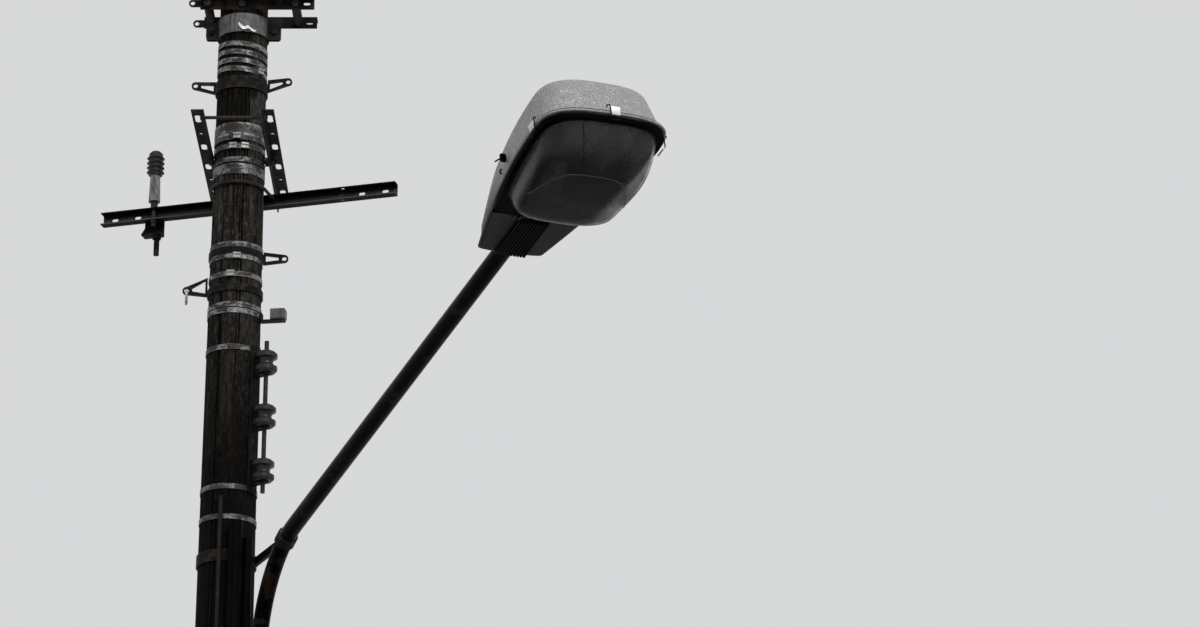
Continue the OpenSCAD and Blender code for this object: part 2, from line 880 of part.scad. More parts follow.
module terminal_bracket() {
    z = box_band_z[0] - 24;
    x0 = pole_r(z - 30) + 2 * seat_gap + strap_t;
    color("gray")
        rotate([0, 0, -8]) {
            translate([x0, -15, z - 16])
                cube([5, 30, 32]);
            translate([x0, -15, z - 16])
                cube([box_gap + box_l, 30, 5]);
        }
}

module terminal_box() {
    z = box_band_z[0] - 35;
    x0 = pole_r(z - 14) + 2 * seat_gap + strap_t + box_gap;
    color("darkgray")
        rotate([0, 0, -8])
            translate([x0, -box_s / 2, z]) {
                along_x(box_l)
                    rounded_rect(box_s, box_s, 5);
                translate([box_l, 3, 3])
                    along_x(3)
                        rounded_rect(box_s - 6, box_s - 6, 4);
            }
}

module rack_frame() {
    rotate([0, 0, rack_angle])
        children();
}

module rack_channel() {
    ear_z = spool_h / 2 + seat_gap + rack_t / 2;
    color("slategray")
        rack_frame() {
            translate([rack_x, -rack_w / 2, rack_low])
                along_x(rack_t)
                    rounded_rect(rack_w, rack_top - rack_low, 8);
            for (i = [0:spool_count - 1], side = [-1, 1])
                translate([rack_x, 0, rack_z + i * spool_pitch + side * ear_z - rack_t / 2])
                    linear_extrude(rack_t)
                        difference() {
                            union() {
                                translate([0, -ear_w / 2])
                                    square([rack_depth - ear_w / 2, ear_w]);
                                translate([rack_depth - ear_w / 2, 0])
                                    circle(r = ear_w / 2);
                            }
                            translate([rod_x, 0])
                                circle(r = bolt_d / 2 + seat_gap);
                        }
        }
}

module rack_rod() {
    color("gray")
        rack_frame()
            translate([rack_x + rod_x, 0, rack_low - 8])
                cylinder(h = rack_top - rack_low + 16, r = bolt_d / 2);
}

module rack_spools() {
    r = spool_d / 2;
    h = spool_h / 2;
    color("white")
        rack_frame()
            for (i = [0:spool_count - 1])
                translate([rack_x + rod_x, 0, rack_z + i * spool_pitch])
                    rotate_extrude()
                        difference() {
                            translate([bolt_d / 2 + seat_gap, -h])
                                square([r - bolt_d / 2 - seat_gap, spool_h]);
                            translate([r * 1.05, 0])
                                circle(r = h * 0.45, $fn = 32);
                            for (side = [-1, 1])
                                translate([r, side * h])
                                    rotate(45)
                                        square(r * 0.3, center = true);
                        }
}

// Distance of a riser of diameter d from the pole's centre at height z
function riser_x(d, z) = pole_r(z) + d / 2 + riser_gap;

// Pipe that leans with the pole's taper, from the ground to an open mouth at top
module riser(az, d, top, wall) {
    lean = atan((ground_d - top_d) / 2 / pole_h);
    rotate([0, 0, az])
        translate([riser_x(d, 0), 0, 0])
            intersection() {
                rotate([0, -lean, 0])
                    difference() {
                        translate([0, 0, -10])
                            cylinder(h = top + 10, r = d / 2, $fn = 32);
                        translate([0, 0, top - mouth_depth])
                            cylinder(h = mouth_depth + 10, r = d / 2 - wall, $fn = 32);
                    }
                translate([-far, -far, 0])
                    cube([2 * far, 2 * far, top + 10]);
            }
}

module risers() {
    color("darkslategray") {
        riser(large_angle, riser_large_d, riser_large_top, riser_wall);
        riser(small_angle, riser_small_d, riser_small_top, riser_wall);
    }
}

module earth_cover() {
    color("lightgray")
        riser(earth_angle, earth_d, earth_top, earth_wall);
}

// Clip round a riser of diameter d, held on the pole by two feet
module riser_clip(az, d, z) {
    x0 = riser_x(d, z);
    back = d / 2 + riser_gap + 6;
    difference() {
        rotate([0, 0, az])
            translate([x0, 0, z - clip_w / 2]) {
                cylinder(h = clip_w, r = d / 2 + 2 * seat_gap + clip_t);
                translate([-back, -d / 2 - 2 * seat_gap - clip_t, 0])
                    cube([back, d + 4 * seat_gap + 2 * clip_t, clip_w]);
            }
        rotate([0, 0, az])
            translate([x0, 0, z - clip_w]) {
                cylinder(h = 2 * clip_w, r = d / 2 + 2 * seat_gap);
                translate([-back - 1, -d / 2 - 2 * seat_gap, 0])
                    cube([back + 1, d + 4 * seat_gap, 2 * clip_w]);
            }
        pole_sleeve(seat_gap, z - clip_w, z + clip_w);
    }
}

module riser_clips() {
    color("gray")
        for (i = [0:clip_count - 1]) {
            z = clip_first + i * (riser_small_top - clip_top_gap - clip_first) / (clip_count - 1);
            riser_clip(large_angle, riser_large_d, z);
            riser_clip(small_angle, riser_small_d, z + clip_stagger);
            riser_clip(earth_angle, earth_d, z - clip_stagger);
        }
}

// Moves its children from the XZ plane of the lamp arm to its place beside the pole
module arm_frame() {
    translate([foot_r * cos(foot_angle), foot_r * sin(foot_angle), 0])
        rotate([0, 0, lamp_heading - 90])
            children();
}

// Runs a flat section along the bent pipe from the height start to extra past its end
module pipe_run(start, extra) {
    sweep = 90 - lamp_tilt;
    translate([0, 0, start])
        linear_extrude(bend_z - start - hairline)
            children();
    translate([bend_r, 0, bend_z])
        rotate([90, 0, 0])
            rotate([0, 0, 180 - sweep])
                rotate_extrude(angle = sweep)
                    translate([bend_r, 0])
                        children();
    arm_line()
        translate([0, 0, hairline])
            linear_extrude(pipe_l + extra - hairline)
                children();
}

// Moves its children to the start of the straight pipe, with +Z along it
module arm_line() {
    translate([bend_r, 0, bend_z])
        rotate([0, 90 - lamp_tilt, 0])
            translate([-bend_r, 0, 0])
                children();
}

module lamp_arm() {
    color("gray")
        arm_frame()
            pipe_run(pipe_foot_z, slip_l)
                difference() {
                    circle(r = pipe_d / 2);
                    circle(r = pipe_d / 2 - pipe_t);
                }
}

// Two brackets that hold the pipe's foot on the pole
module foot_brackets() {
    for (z = [pipe_foot_z + 60, bend_z - 60]) {
        band(z, bracket_w, eye_band_t);
        difference() {
            arm_frame()
                translate([0, 0, z - bracket_w / 2])
                    cylinder(h = bracket_w, r = pipe_d / 2 + 7);
            arm_frame()
                translate([0, 0, z - bracket_w])
                    cylinder(h = 2 * bracket_w, r = pipe_d / 2 + seat_gap);
            pole_sleeve(seat_gap, z - bracket_w, z + bracket_w);
        }
    }
}

// Stay from a band to a collar on the pipe's bend
module arm_stay() {
    px = bend_r * (1 - cos(stay_sweep));
    pz = bend_z + bend_r * sin(stay_sweep);
    band(pz, stay_w, eye_band_t);
    difference() {
        arm_frame() {
            translate([px, 0, pz])
                rotate([0, stay_sweep, 0])
                    translate([0, 0, -stay_w / 2])
                        cylinder(h = stay_w, r = pipe_d / 2 + 7);
            translate([-80, -6, pz - 15])
                cube([px + 80, 12, 30]);
        }
        arm_frame()
            pipe_run(pipe_foot_z, 0)
                circle(r = pipe_d / 2 + seat_gap);
        pole_sleeve(seat_gap, pz - 60, pz + 60);
    }
}

module arm_brackets() {
    color("silver") {
        foot_brackets();
        arm_stay();
    }
}

// Moves its children into the lamp's frame: +X to the nose, the housing's rim on z = 0
module in_lamp() {
    arm_frame()
        arm_line()
            translate([0, 0, pipe_l])
                rotate([0, -90, 0])
                    rotate([lamp_roll, 0, 0])
                        translate([0, 0, -pipe_lift])
                            children();
}

// Half of the lamp's width at the distance x from its back wall
function half_w(x) = lamp_back_w / 2 + (lamp_w - lamp_back_w) / 2 * sin(90 * min(x, nose_start) / nose_start);

// Share of an end's rounding at the angle a, along the lamp and across it
function end_x(a) = 1 - pow(cos(a), 2 / plan_power);
function end_y(a) = pow(sin(a), 2 / plan_power);

// Left half of a plan from xb to xf, drawn in by inset, with ends rounded over rb and rf
function plan_side(inset, xb, xf, rb, rf) = concat(
    [for (i = [0:plan_steps])
        let (a = 90 * i / plan_steps, x = xb + rb * end_x(a)) [x, (half_w(x) - inset) * end_y(a)]],
    [for (i = [1:plan_steps - 1])
        let (x = xb + rb + (xf - rf - xb - rb) * i / plan_steps) [x, half_w(x) - inset]],
    [for (i = [plan_steps:-1:0])
        let (a = 90 * i / plan_steps, x = xf - rf * end_x(a)) [x, (half_w(x) - inset) * end_y(a)]]);

// Outline of the lamp in plan from xb to xf
module lamp_plan(inset, xb, xf, rb, rf) {
    side = plan_side(inset, xb, xf, rb, rf);
    polygon(concat(side, [for (i = [len(side) - 2:-1:1]) [side[i][0], -side[i][1]]]));
}

// Thin slice of the lamp's plan at height z
module lamp_slice(z, inset, xb, xf, rb, rf) {
    translate([0, 0, z])
        linear_extrude(1)
            lamp_plan(inset, xb, xf, rb, rf);
}

// How far the crown draws the wall in at the share t of the housing's height
function crown(t) = t < shoulder ? 0 : crown_r * (1 - sqrt(1 - pow((t - shoulder) / (1 - shoulder), 2)));

// How far the sides and the nose are drawn in at the share t of the height
function side_in(t) = side_lean * t + crown(t);
function nose_in(t) = nose_lean * t + crown(t);

// Closed solid of the housing, drawn in by inset
module housing_solid(inset, low) {
    rise = lamp_nose_h - lamp_back_h;
    hull() {
        lamp_slice(low, inset, inset, lamp_l - inset, back_round, nose_round);
        for (t = shell_shares) {
            z = t * lamp_nose_h;
            xb = inset + max(0, z - lamp_back_h) / rise * crown_start;
            lamp_slice(z - inset - 1, inset + side_in(t), xb, lamp_l - inset - nose_in(t),
                back_round, nose_round);
        }
    }
}

module lamp_housing() {
    color("lightgray")
        in_lamp()
            difference() {
                union() {
                    housing_solid(0, 0);
                    linear_extrude(lip_h)
                        lamp_plan(-lip_out, -lip_out, lamp_l + lip_out, back_round, nose_round);
                }
                housing_solid(lamp_wall, -1);
                translate([-lip_out - 1, 0, pipe_lift])
                    rotate([0, 90, 0])
                        cylinder(h = hinge_x / 4, r = pipe_d / 2 + seat_gap);
            }
}

// Flat cover under the gear space with two pairs of hinge lugs
module lamp_gear_cover() {
    cover_in = lamp_wall + seat_gap;
    color("gray")
        in_lamp() {
            translate([0, 0, cover_z])
                linear_extrude(cover_t)
                    intersection() {
                        lamp_plan(cover_in, cover_in, lamp_l - cover_in, back_round, nose_round);
                        translate([0, -far])
                            square([hinge_x - knuckle_r - frame_gap, 2 * far]);
                    }
            for (y = hinge_lug_y())
                difference() {
                    union() {
                        translate([hinge_x - knuckle_r - frame_gap - 6, y - lug_w / 2, cover_z - pin_drop + 2])
                            cube([6, lug_w, pin_drop]);
                        translate([hinge_x - knuckle_r - frame_gap - 6, y - lug_w / 2, -pin_drop - 3])
                            cube([knuckle_r + frame_gap + 6, lug_w, 6 + 3]);
                        translate([hinge_x, y - lug_w / 2, -pin_drop])
                            rotate([-90, 0, 0])
                                cylinder(h = lug_w, r = knuckle_r - 1);
                    }
                    hinge_bore(hinge_pin_d / 2 + seat_gap);
                }
        }
}

// Middles of the fixed lugs along the hinge
function hinge_lug_y() = [for (side = [-1, 1], k = [-1, 1]) side * hinge_y + k * (lug_w + 1)];

// Round space of radius r along the hinge
module hinge_bore(r) {
    translate([hinge_x, -lamp_w / 2, -pin_drop])
        rotate([-90, 0, 0])
            cylinder(h = lamp_w, r = r);
}

module lamp_neck_fins() {
    w = fin_count * fin_pitch;
    l = hinge_x - knuckle_r - frame_gap - 8;
    plate_t = 2;
    start = lamp_wall + 1;
    color("dimgray")
        in_lamp() {
            translate([start, -w / 2, cover_z - plate_t])
                cube([l - start, w, plate_t]);
            for (i = [0:fin_count - 1])
                translate([0, -w / 2 + (i + 0.75) * fin_pitch, cover_z - plate_t])
                    rotate([90, 0, 0])
                        linear_extrude(fin_pitch / 2)
                            polygon([[-lip_out, 0], [-lip_out, -fin_h * 0.7], [0, -fin_h], [l - fin_h, -fin_h],
                                [l, 0]]);
        }
}

// Closed solid of the reflector, drawn in by inset
module reflector_solid(inset, low) {
    hull() {
        reflector_slice(low, 28, 16, inset);
        reflector_slice(56, 42, 28, inset);
        reflector_slice(106 - inset, 88, 62, inset);
    }
}

// Slice of the reflector that is drawn in by edge and starts at back behind the hinge
module reflector_slice(z, edge, back, inset) {
    xf = lamp_l - edge - inset - nose_in(z / lamp_nose_h);
    lamp_slice(z, edge + inset, hinge_x + back + inset, xf, 40, nose_round);
}

module lamp_reflector() {
    flange_in = lamp_wall + seat_gap;
    flange_share = (lip_h + 5) / lamp_nose_h;
    color("whitesmoke")
        in_lamp()
            difference() {
                union() {
                    reflector_solid(0, 6);
                    translate([0, 0, lip_h])
                        linear_extrude(3)
                            lamp_plan(flange_in + side_in(flange_share), hinge_x + 4,
                                lamp_l - flange_in - nose_in(flange_share), back_round, nose_round);
                }
                reflector_solid(2.5, 5);
                translate([hinge_x, 0, lamp_axis_z])
                    rotate([0, 90, 0])
                        cylinder(h = 100, r = 24 + seat_gap);
            }
}

module lamp_socket() {
    color("white")
        in_lamp()
            translate([hinge_x + 6, 0, lamp_axis_z])
                rotate([0, 90, 0])
                    difference() {
                        cylinder(h = 64, r = 24);
                        translate([0, 0, 30])
                            cylinder(h = 35, r = 19);
                    }
}

module lamp_bulb() {
    color("white")
        in_lamp()
            translate([hinge_x + 36 + seat_gap, 0, lamp_axis_z])
                rotate([0, 90, 0])
                    rotate_extrude()
                        polygon([[0, 0], [18.5, 0], [18.5, 34], [24, 46], [33, 74], [36, 100],
                            [34, 128], [27, 152], [15, 167], [0, 172]]);
}

// Spring clip that stands on the housing's lip and ends in a flared tab
module latch() {
    translate([seat_gap, latch_w / 2, 0])
        rotate([90, 0, 0])
            linear_extrude(latch_w)
                polygon([[0, -14], [3, -14], [3, 15], [8, 22], [8, 27], [6, 27], [6, 23], [0, 15]]);
}

// Moves its children to the housing's lip at the distance x from the back wall
module on_lip(x, side) {
    slope = atan((lip_y(x + 1) - lip_y(x - 1)) / 2);
    translate([x, side * lip_y(x), 0])
        rotate([0, 0, side * (90 + slope)])
            children();
}

// Distance of the lip's edge from the lamp's middle
function lip_y(x) =
    lookup(x, plan_side(-lip_out, -lip_out, lamp_l + lip_out, back_round, nose_round));

module lamp_latches() {
    color("whitesmoke")
        in_lamp() {
            translate([lamp_l + lip_out, 0, 0])
                latch();
            for (side = [-1, 1], x = [latch_x, hook_latch_x])
                on_lip(x, side)
                    latch();
        }
}

module lamp_hinge_pin() {
    l = 2 * hinge_y + 3 * lug_w + 12;
    color("gray")
        in_lamp()
            translate([hinge_x, -l / 2, -pin_drop])
                rotate([-90, 0, 0])
                    cylinder(h = l, r = hinge_pin_d / 2);
}

// Frame of the bowl with two knuckles on the hinge
module lamp_door_frame() {
    low = -frame_gap - frame_h;
    color("dimgray")
        in_lamp()
            difference() {
                union() {
                    translate([0, 0, low])
                        linear_extrude(frame_h)
                            lamp_plan(2, frame_start, lamp_l - 2, back_round, nose_round);
                    for (side = [-1, 1]) {
                        translate([hinge_x, side * hinge_y - lug_w / 2, -pin_drop - 4])
                            cube([frame_start - hinge_x + 2, lug_w, 8]);
                        translate([hinge_x, side * hinge_y - lug_w / 2, -pin_drop])
                            rotate([-90, 0, 0])
                                cylinder(h = lug_w, r = knuckle_r);
                    }
                }
                translate([0, 0, low - 1])
                    linear_extrude(frame_h + 2)
                        lamp_plan(frame_rim, bowl_back, lamp_l - frame_rim, bowl_back_round, nose_round);
                hinge_bore(hinge_pin_d / 2 + seat_gap);
            }
}

// Closed solid of the bowl, drawn in by inset
module bowl_solid(inset, lift) {
    edge = frame_rim + seat_gap + inset;
    xb = bowl_back + seat_gap + inset;
    xf = lamp_l - edge;
    top = -frame_gap - 3;
    hull() {
        lamp_slice(top - 1 + lift, edge, xb, xf, bowl_back_round, nose_round);
        for (b = bowl_slices)
            lamp_slice(top - bowl_depth * b[0] + inset, edge + b[1], xb + b[2], xf - b[3],
                bowl_back_round * b[4], nose_round * b[4]);
    }
}

module lamp_bowl() {
    color("lightsteelblue", 0.6)
        in_lamp()
            difference() {
                bowl_solid(0, 0);
                bowl_solid(bowl_t, 2);
            }
}

pole_shaft();
top_arm_front();
top_arm_back();
top_arm_bolts();
top_arm_spacers();
strain_clevises();
side_arm_left();
side_arm_right();
side_arm_bolts();
main_crossarm();
crossarm_u_bolt();
insulator_pin();
insulator_body();
insulator_head();
crossarm_hanger();
top_clamp();
upper_straps();
middle_straps();
lower_straps();
strap_buckles();
pale_bands();
upper_eye_band();
lower_eye_band();
hook_band();
hook_ring();
terminal_box();
terminal_bracket();
rack_channel();
rack_rod();
rack_spools();
risers();
earth_cover();
riser_clips();
lamp_arm();
arm_brackets();
lamp_housing();
lamp_gear_cover();
lamp_neck_fins();
lamp_reflector();
lamp_socket();
lamp_bulb();
lamp_latches();
lamp_hinge_pin();
lamp_door_frame();
lamp_bowl();
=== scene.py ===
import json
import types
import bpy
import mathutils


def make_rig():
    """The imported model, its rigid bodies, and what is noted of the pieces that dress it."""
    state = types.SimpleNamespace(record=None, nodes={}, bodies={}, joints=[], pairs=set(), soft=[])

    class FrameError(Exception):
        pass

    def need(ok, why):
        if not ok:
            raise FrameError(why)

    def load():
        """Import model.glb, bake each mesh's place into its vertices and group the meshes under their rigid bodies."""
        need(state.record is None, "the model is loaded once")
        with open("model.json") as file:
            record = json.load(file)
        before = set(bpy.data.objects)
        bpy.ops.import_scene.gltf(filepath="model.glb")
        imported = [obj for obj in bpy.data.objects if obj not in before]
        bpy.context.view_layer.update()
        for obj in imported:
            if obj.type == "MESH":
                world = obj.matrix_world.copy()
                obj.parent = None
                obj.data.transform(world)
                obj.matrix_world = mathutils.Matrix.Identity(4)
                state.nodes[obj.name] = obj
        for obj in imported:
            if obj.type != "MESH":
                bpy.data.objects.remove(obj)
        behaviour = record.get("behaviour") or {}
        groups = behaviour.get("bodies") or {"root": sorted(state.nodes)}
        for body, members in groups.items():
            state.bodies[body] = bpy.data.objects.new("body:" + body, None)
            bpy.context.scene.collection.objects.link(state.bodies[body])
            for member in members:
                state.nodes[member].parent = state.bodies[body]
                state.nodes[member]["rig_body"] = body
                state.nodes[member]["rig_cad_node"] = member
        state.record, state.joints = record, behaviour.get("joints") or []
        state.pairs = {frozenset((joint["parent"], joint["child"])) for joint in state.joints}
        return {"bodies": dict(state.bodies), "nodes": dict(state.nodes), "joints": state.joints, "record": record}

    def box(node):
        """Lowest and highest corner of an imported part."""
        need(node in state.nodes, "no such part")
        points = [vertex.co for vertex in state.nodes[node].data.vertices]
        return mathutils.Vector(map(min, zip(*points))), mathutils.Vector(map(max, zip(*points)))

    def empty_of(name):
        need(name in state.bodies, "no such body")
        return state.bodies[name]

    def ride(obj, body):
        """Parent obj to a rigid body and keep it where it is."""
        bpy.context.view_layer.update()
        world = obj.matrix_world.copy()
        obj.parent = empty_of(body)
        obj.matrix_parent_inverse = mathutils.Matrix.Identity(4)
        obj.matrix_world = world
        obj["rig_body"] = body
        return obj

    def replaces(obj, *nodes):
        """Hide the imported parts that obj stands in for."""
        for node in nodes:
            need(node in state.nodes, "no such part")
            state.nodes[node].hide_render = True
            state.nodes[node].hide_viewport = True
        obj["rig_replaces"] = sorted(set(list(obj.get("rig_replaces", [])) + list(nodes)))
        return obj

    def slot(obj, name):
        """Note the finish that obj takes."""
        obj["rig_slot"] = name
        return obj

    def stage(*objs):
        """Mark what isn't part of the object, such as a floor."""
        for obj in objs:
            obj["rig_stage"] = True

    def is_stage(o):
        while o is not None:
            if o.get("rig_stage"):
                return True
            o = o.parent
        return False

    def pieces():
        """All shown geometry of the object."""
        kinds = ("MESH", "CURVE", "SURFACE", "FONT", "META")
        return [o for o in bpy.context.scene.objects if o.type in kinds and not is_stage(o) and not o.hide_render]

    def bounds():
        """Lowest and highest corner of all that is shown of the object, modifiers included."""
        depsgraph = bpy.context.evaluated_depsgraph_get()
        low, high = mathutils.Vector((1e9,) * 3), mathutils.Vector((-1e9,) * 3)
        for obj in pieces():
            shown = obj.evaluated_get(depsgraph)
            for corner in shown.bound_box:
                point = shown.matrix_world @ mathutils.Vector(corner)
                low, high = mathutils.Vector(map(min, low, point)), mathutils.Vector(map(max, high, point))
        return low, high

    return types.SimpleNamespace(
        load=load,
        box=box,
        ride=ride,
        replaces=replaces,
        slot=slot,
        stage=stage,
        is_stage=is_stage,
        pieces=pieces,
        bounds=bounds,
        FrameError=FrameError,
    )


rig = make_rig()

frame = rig.load()

import json
import math
import random

import bmesh
import bpy
from mathutils import Matrix, Vector, noise

NODES = frame["nodes"]
# Whatever the start-up file brings goes
for stray in [o for o in bpy.data.objects if o.name not in NODES and not o.name.startswith("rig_")
              and o not in frame["bodies"].values()]:
    bpy.data.objects.remove(stray)
CAD_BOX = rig.bounds()
random.seed(7)


# ---------------------------------------------------------------- camera, light and floor
CAMERA_AT = (1.292, -14.19, 1.6)
CAMERA_PITCH = 111.0
CAMERA_LENS = 129.0
SENSOR_WIDTH = 36
VIEW_RANGE = (0.1, 400)
BACKDROP = (0.685, 0.692, 0.70, 1)
# Light from the sky fades in from the first to the second height of direction, over that of the ground
SKY_TINT = (0.97, 0.985, 1, 1)
SKY_FADE = (-0.15, 0.25)
GROUND_LIGHT = 0.12
FLOOR_REACH = 90
FLOOR_Z = -0.002
FLOOR_LIT = (0.16, 0.16, 0.16, 1)
FLOOR_SEEN = (0.60, 0.605, 0.61, 1)


def make_camera():
    data = bpy.data.cameras.new("camera")
    data.lens, data.sensor_width, data.sensor_fit = CAMERA_LENS, SENSOR_WIDTH, "HORIZONTAL"
    data.clip_start, data.clip_end = VIEW_RANGE
    camera = bpy.data.objects.new("camera", data)
    camera.location = CAMERA_AT
    camera.rotation_euler = (math.radians(CAMERA_PITCH), 0, 0)
    bpy.context.scene.collection.objects.link(camera)
    bpy.context.scene.camera = camera


def seen_directly(tree):
    """1 where a camera, glossy or transmission ray looks, 0 for light that is bounced"""
    path = tree.nodes.new("ShaderNodeLightPath")
    value = path.outputs["Is Camera Ray"]
    for other in ("Is Glossy Ray", "Is Transmission Ray"):
        larger = tree.nodes.new("ShaderNodeMath")
        larger.operation = "MAXIMUM"
        tree.links.new(value, larger.inputs[0])
        tree.links.new(path.outputs[other], larger.inputs[1])
        value = larger.outputs[0]
    return value


def lit_or_seen(tree, kind, output):
    """Two shaders of one kind, the first for the light that is bounced, the second for what is seen"""
    lit, seen, mix, out = (tree.nodes.new("ShaderNode" + name) for name in (kind, kind, "MixShader", output))
    tree.links.new(seen_directly(tree), mix.inputs[0])
    tree.links.new(lit.outputs[0], mix.inputs[1])
    tree.links.new(seen.outputs[0], mix.inputs[2])
    tree.links.new(mix.outputs[0], out.inputs[0])
    return lit, seen


def make_world():
    """Light from a pale sky with a darker ground; rays that look at it see one pale grey"""
    world = bpy.data.worlds.new("studio")
    bpy.context.scene.world = world
    world.use_nodes = True
    tree = world.node_tree
    tree.nodes.clear()
    place = tree.nodes.new("ShaderNodeTexCoord")
    split = tree.nodes.new("ShaderNodeSeparateXYZ")
    sky = tree.nodes.new("ShaderNodeMapRange")
    for name, value in (("From Min", SKY_FADE[0]), ("From Max", SKY_FADE[1]), ("To Min", GROUND_LIGHT),
                        ("To Max", 1.0)):
        sky.inputs[name].default_value = value
    lit, seen = lit_or_seen(tree, "Background", "OutputWorld")
    lit.inputs["Color"].default_value = SKY_TINT
    seen.inputs["Color"].default_value = BACKDROP
    tree.links.new(place.outputs["Generated"], split.inputs[0])
    tree.links.new(split.outputs["Z"], sky.inputs["Value"])
    tree.links.new(sky.outputs[0], lit.inputs["Strength"])


def make_sun(name, strength, pitch, heading, spread):
    data = bpy.data.lights.new(name, "SUN")
    data.energy, data.angle = strength, math.radians(spread)
    lamp = bpy.data.objects.new(name, data)
    lamp.rotation_euler = (math.radians(pitch), 0, math.radians(heading))
    bpy.context.scene.collection.objects.link(lamp)


def make_floor():
    mesh = bpy.data.meshes.new("studio_floor")
    corners = [(x * FLOOR_REACH, y * FLOOR_REACH, FLOOR_Z) for x, y in ((-1, -1), (1, -1), (1, 1), (-1, 1))]
    mesh.from_pydata(corners, [], [(0, 1, 2, 3)])
    floor = bpy.data.objects.new("studio_floor", mesh)
    bpy.context.scene.collection.objects.link(floor)
    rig.stage(floor)
    material = bpy.data.materials.new("studio_floor")
    material.use_nodes = True
    material.node_tree.nodes.clear()
    lit, seen = lit_or_seen(material.node_tree, "BsdfDiffuse", "OutputMaterial")
    lit.inputs["Color"].default_value = FLOOR_LIT
    seen.inputs["Color"].default_value = FLOOR_SEEN
    mesh.materials.append(material)


# ---------------------------------------------------------------- material helper
# Sockets of the Mix node for colours
MIX_SHARE, MIX_ONE, MIX_TWO, MIX_RESULT = 0, 6, 7, 2


class Graph:
    """The node tree of one material"""

    def __init__(self, name):
        self.material = bpy.data.materials.new(name)
        self.material.use_nodes = True
        self.tree = self.material.node_tree
        self.tree.nodes.clear()
        self.out = self.add("OutputMaterial")

    def add(self, kind, inputs=None, **settings):
        node = self.tree.nodes.new("ShaderNode" + kind)
        for key, value in settings.items():
            setattr(node, key, value)
        for key, value in (inputs or {}).items():
            self.put(node.inputs[key], value)
        return node

    def put(self, socket, value):
        if isinstance(value, bpy.types.NodeSocket):
            self.tree.links.new(value, socket)
        elif value is not None:
            socket.default_value = value

    def place(self, scale=(1, 1, 1), attribute=None):
        """Coordinates in metres, on the piece itself or on its stored grain, stretched by scale"""
        if attribute:
            start = self.add("Attribute", attribute_name=attribute).outputs["Vector"]
        else:
            start = self.add("TexCoord").outputs["Object"]
        return self.add("Mapping", {"Vector": start, "Scale": scale}).outputs[0]

    def stored(self, name):
        """A number that the mesh keeps for each point"""
        return self.add("Attribute", attribute_name=name).outputs["Fac"]

    def noise(self, at, scale, detail=4, rough=0.55, warp=0.0):
        return self.add("TexNoise", {"Vector": at, "Scale": scale, "Detail": detail,
                                     "Roughness": rough, "Distortion": warp}).outputs["Fac"]

    def cells(self, at, scale):
        """A random colour for each small cell"""
        return self.add("TexVoronoi", {"Vector": at, "Scale": scale}).outputs["Color"]

    def band(self, value, low, high, to_low=0.0, to_high=1.0):
        node = self.add("MapRange", {"Value": value, "From Min": low, "From Max": high,
                                     "To Min": to_low, "To Max": to_high})
        node.clamp = True
        return node.outputs[0]

    def ramp(self, value, *stops):
        node = self.add("ValToRGB", {"Fac": value})
        points = node.color_ramp.elements
        while len(points) < len(stops):
            points.new(0.5)
        for point, (where, colour) in zip(points, stops):
            point.position, point.color = where, shade(colour)
        return node.outputs[0]

    def mix(self, amount, one, two, blend="MIX"):
        node = self.add("Mix", data_type="RGBA", blend_type=blend)
        self.put(node.inputs[MIX_SHARE], amount)
        self.put(node.inputs[MIX_ONE], shade(one))
        self.put(node.inputs[MIX_TWO], shade(two))
        return node.outputs[MIX_RESULT]

    def math(self, operation, one, two=None):
        node = self.add("Math", operation=operation)
        self.put(node.inputs[0], one)
        self.put(node.inputs[1], two)
        return node.outputs[0]

    def height(self, at):
        """The Z of some coordinates"""
        return self.add("SeparateXYZ", {"Vector": at}).outputs["Z"]

    def facing(self):
        """The direction in which the surface looks"""
        return self.add("NewGeometry").outputs["Normal"]

    def edges(self, radius):
        """Near 1 on edges sharper than the radius, 0 on flats"""
        soft = self.add("Bevel", {"Radius": radius}, samples=4)
        dot = self.add("VectorMath", operation="DOT_PRODUCT")
        self.put(dot.inputs[0], soft.outputs[0])
        self.put(dot.inputs[1], self.facing())
        return self.band(dot.outputs["Value"], 0.99, 0.80)

    def bump(self, height, strength, distance, normal=None):
        return self.add("Bump", {"Height": height, "Strength": strength, "Distance": distance,
                                 "Normal": normal}).outputs[0]

    def finish(self, **inputs):
        shader = self.add("BsdfPrincipled")
        for key, value in inputs.items():
            self.put(shader.inputs[key.replace("_", " ")], value)
        self.put(self.out.inputs[0], shader.outputs[0])
        return self.material


def shade(colour):
    """One grey number, or three numbers, as a colour"""
    if isinstance(colour, bpy.types.NodeSocket):
        return colour
    if isinstance(colour, (int, float)):
        return (colour, colour, colour, 1)
    return (*colour[:3], 1)


def tint(grey, warmth):
    """A grey with a little warmth, or a little blue where warmth is under 0"""
    return (grey * (1 + warmth), grey * (1 + 0.15 * warmth), grey * (1 - warmth))


RUST = (0.050, 0.020, 0.010)
# Heights on the pole between which the tar below ends, the painted shade round the middle bands starts and the bare
# wood starts
TARRED_UP_TO = (6.4, 7.5)
SHADED_FROM = (7.48, 7.68)
BARE_BELOW = (4.6, 5.75)
# How far out the dark ears of the top clamp start, and the height above the crossarm's foot where painted shade from
# its upper flange starts
CLAMP_EARS_FROM = 0.078
FLANGE_SHADE_FROM = 0.022


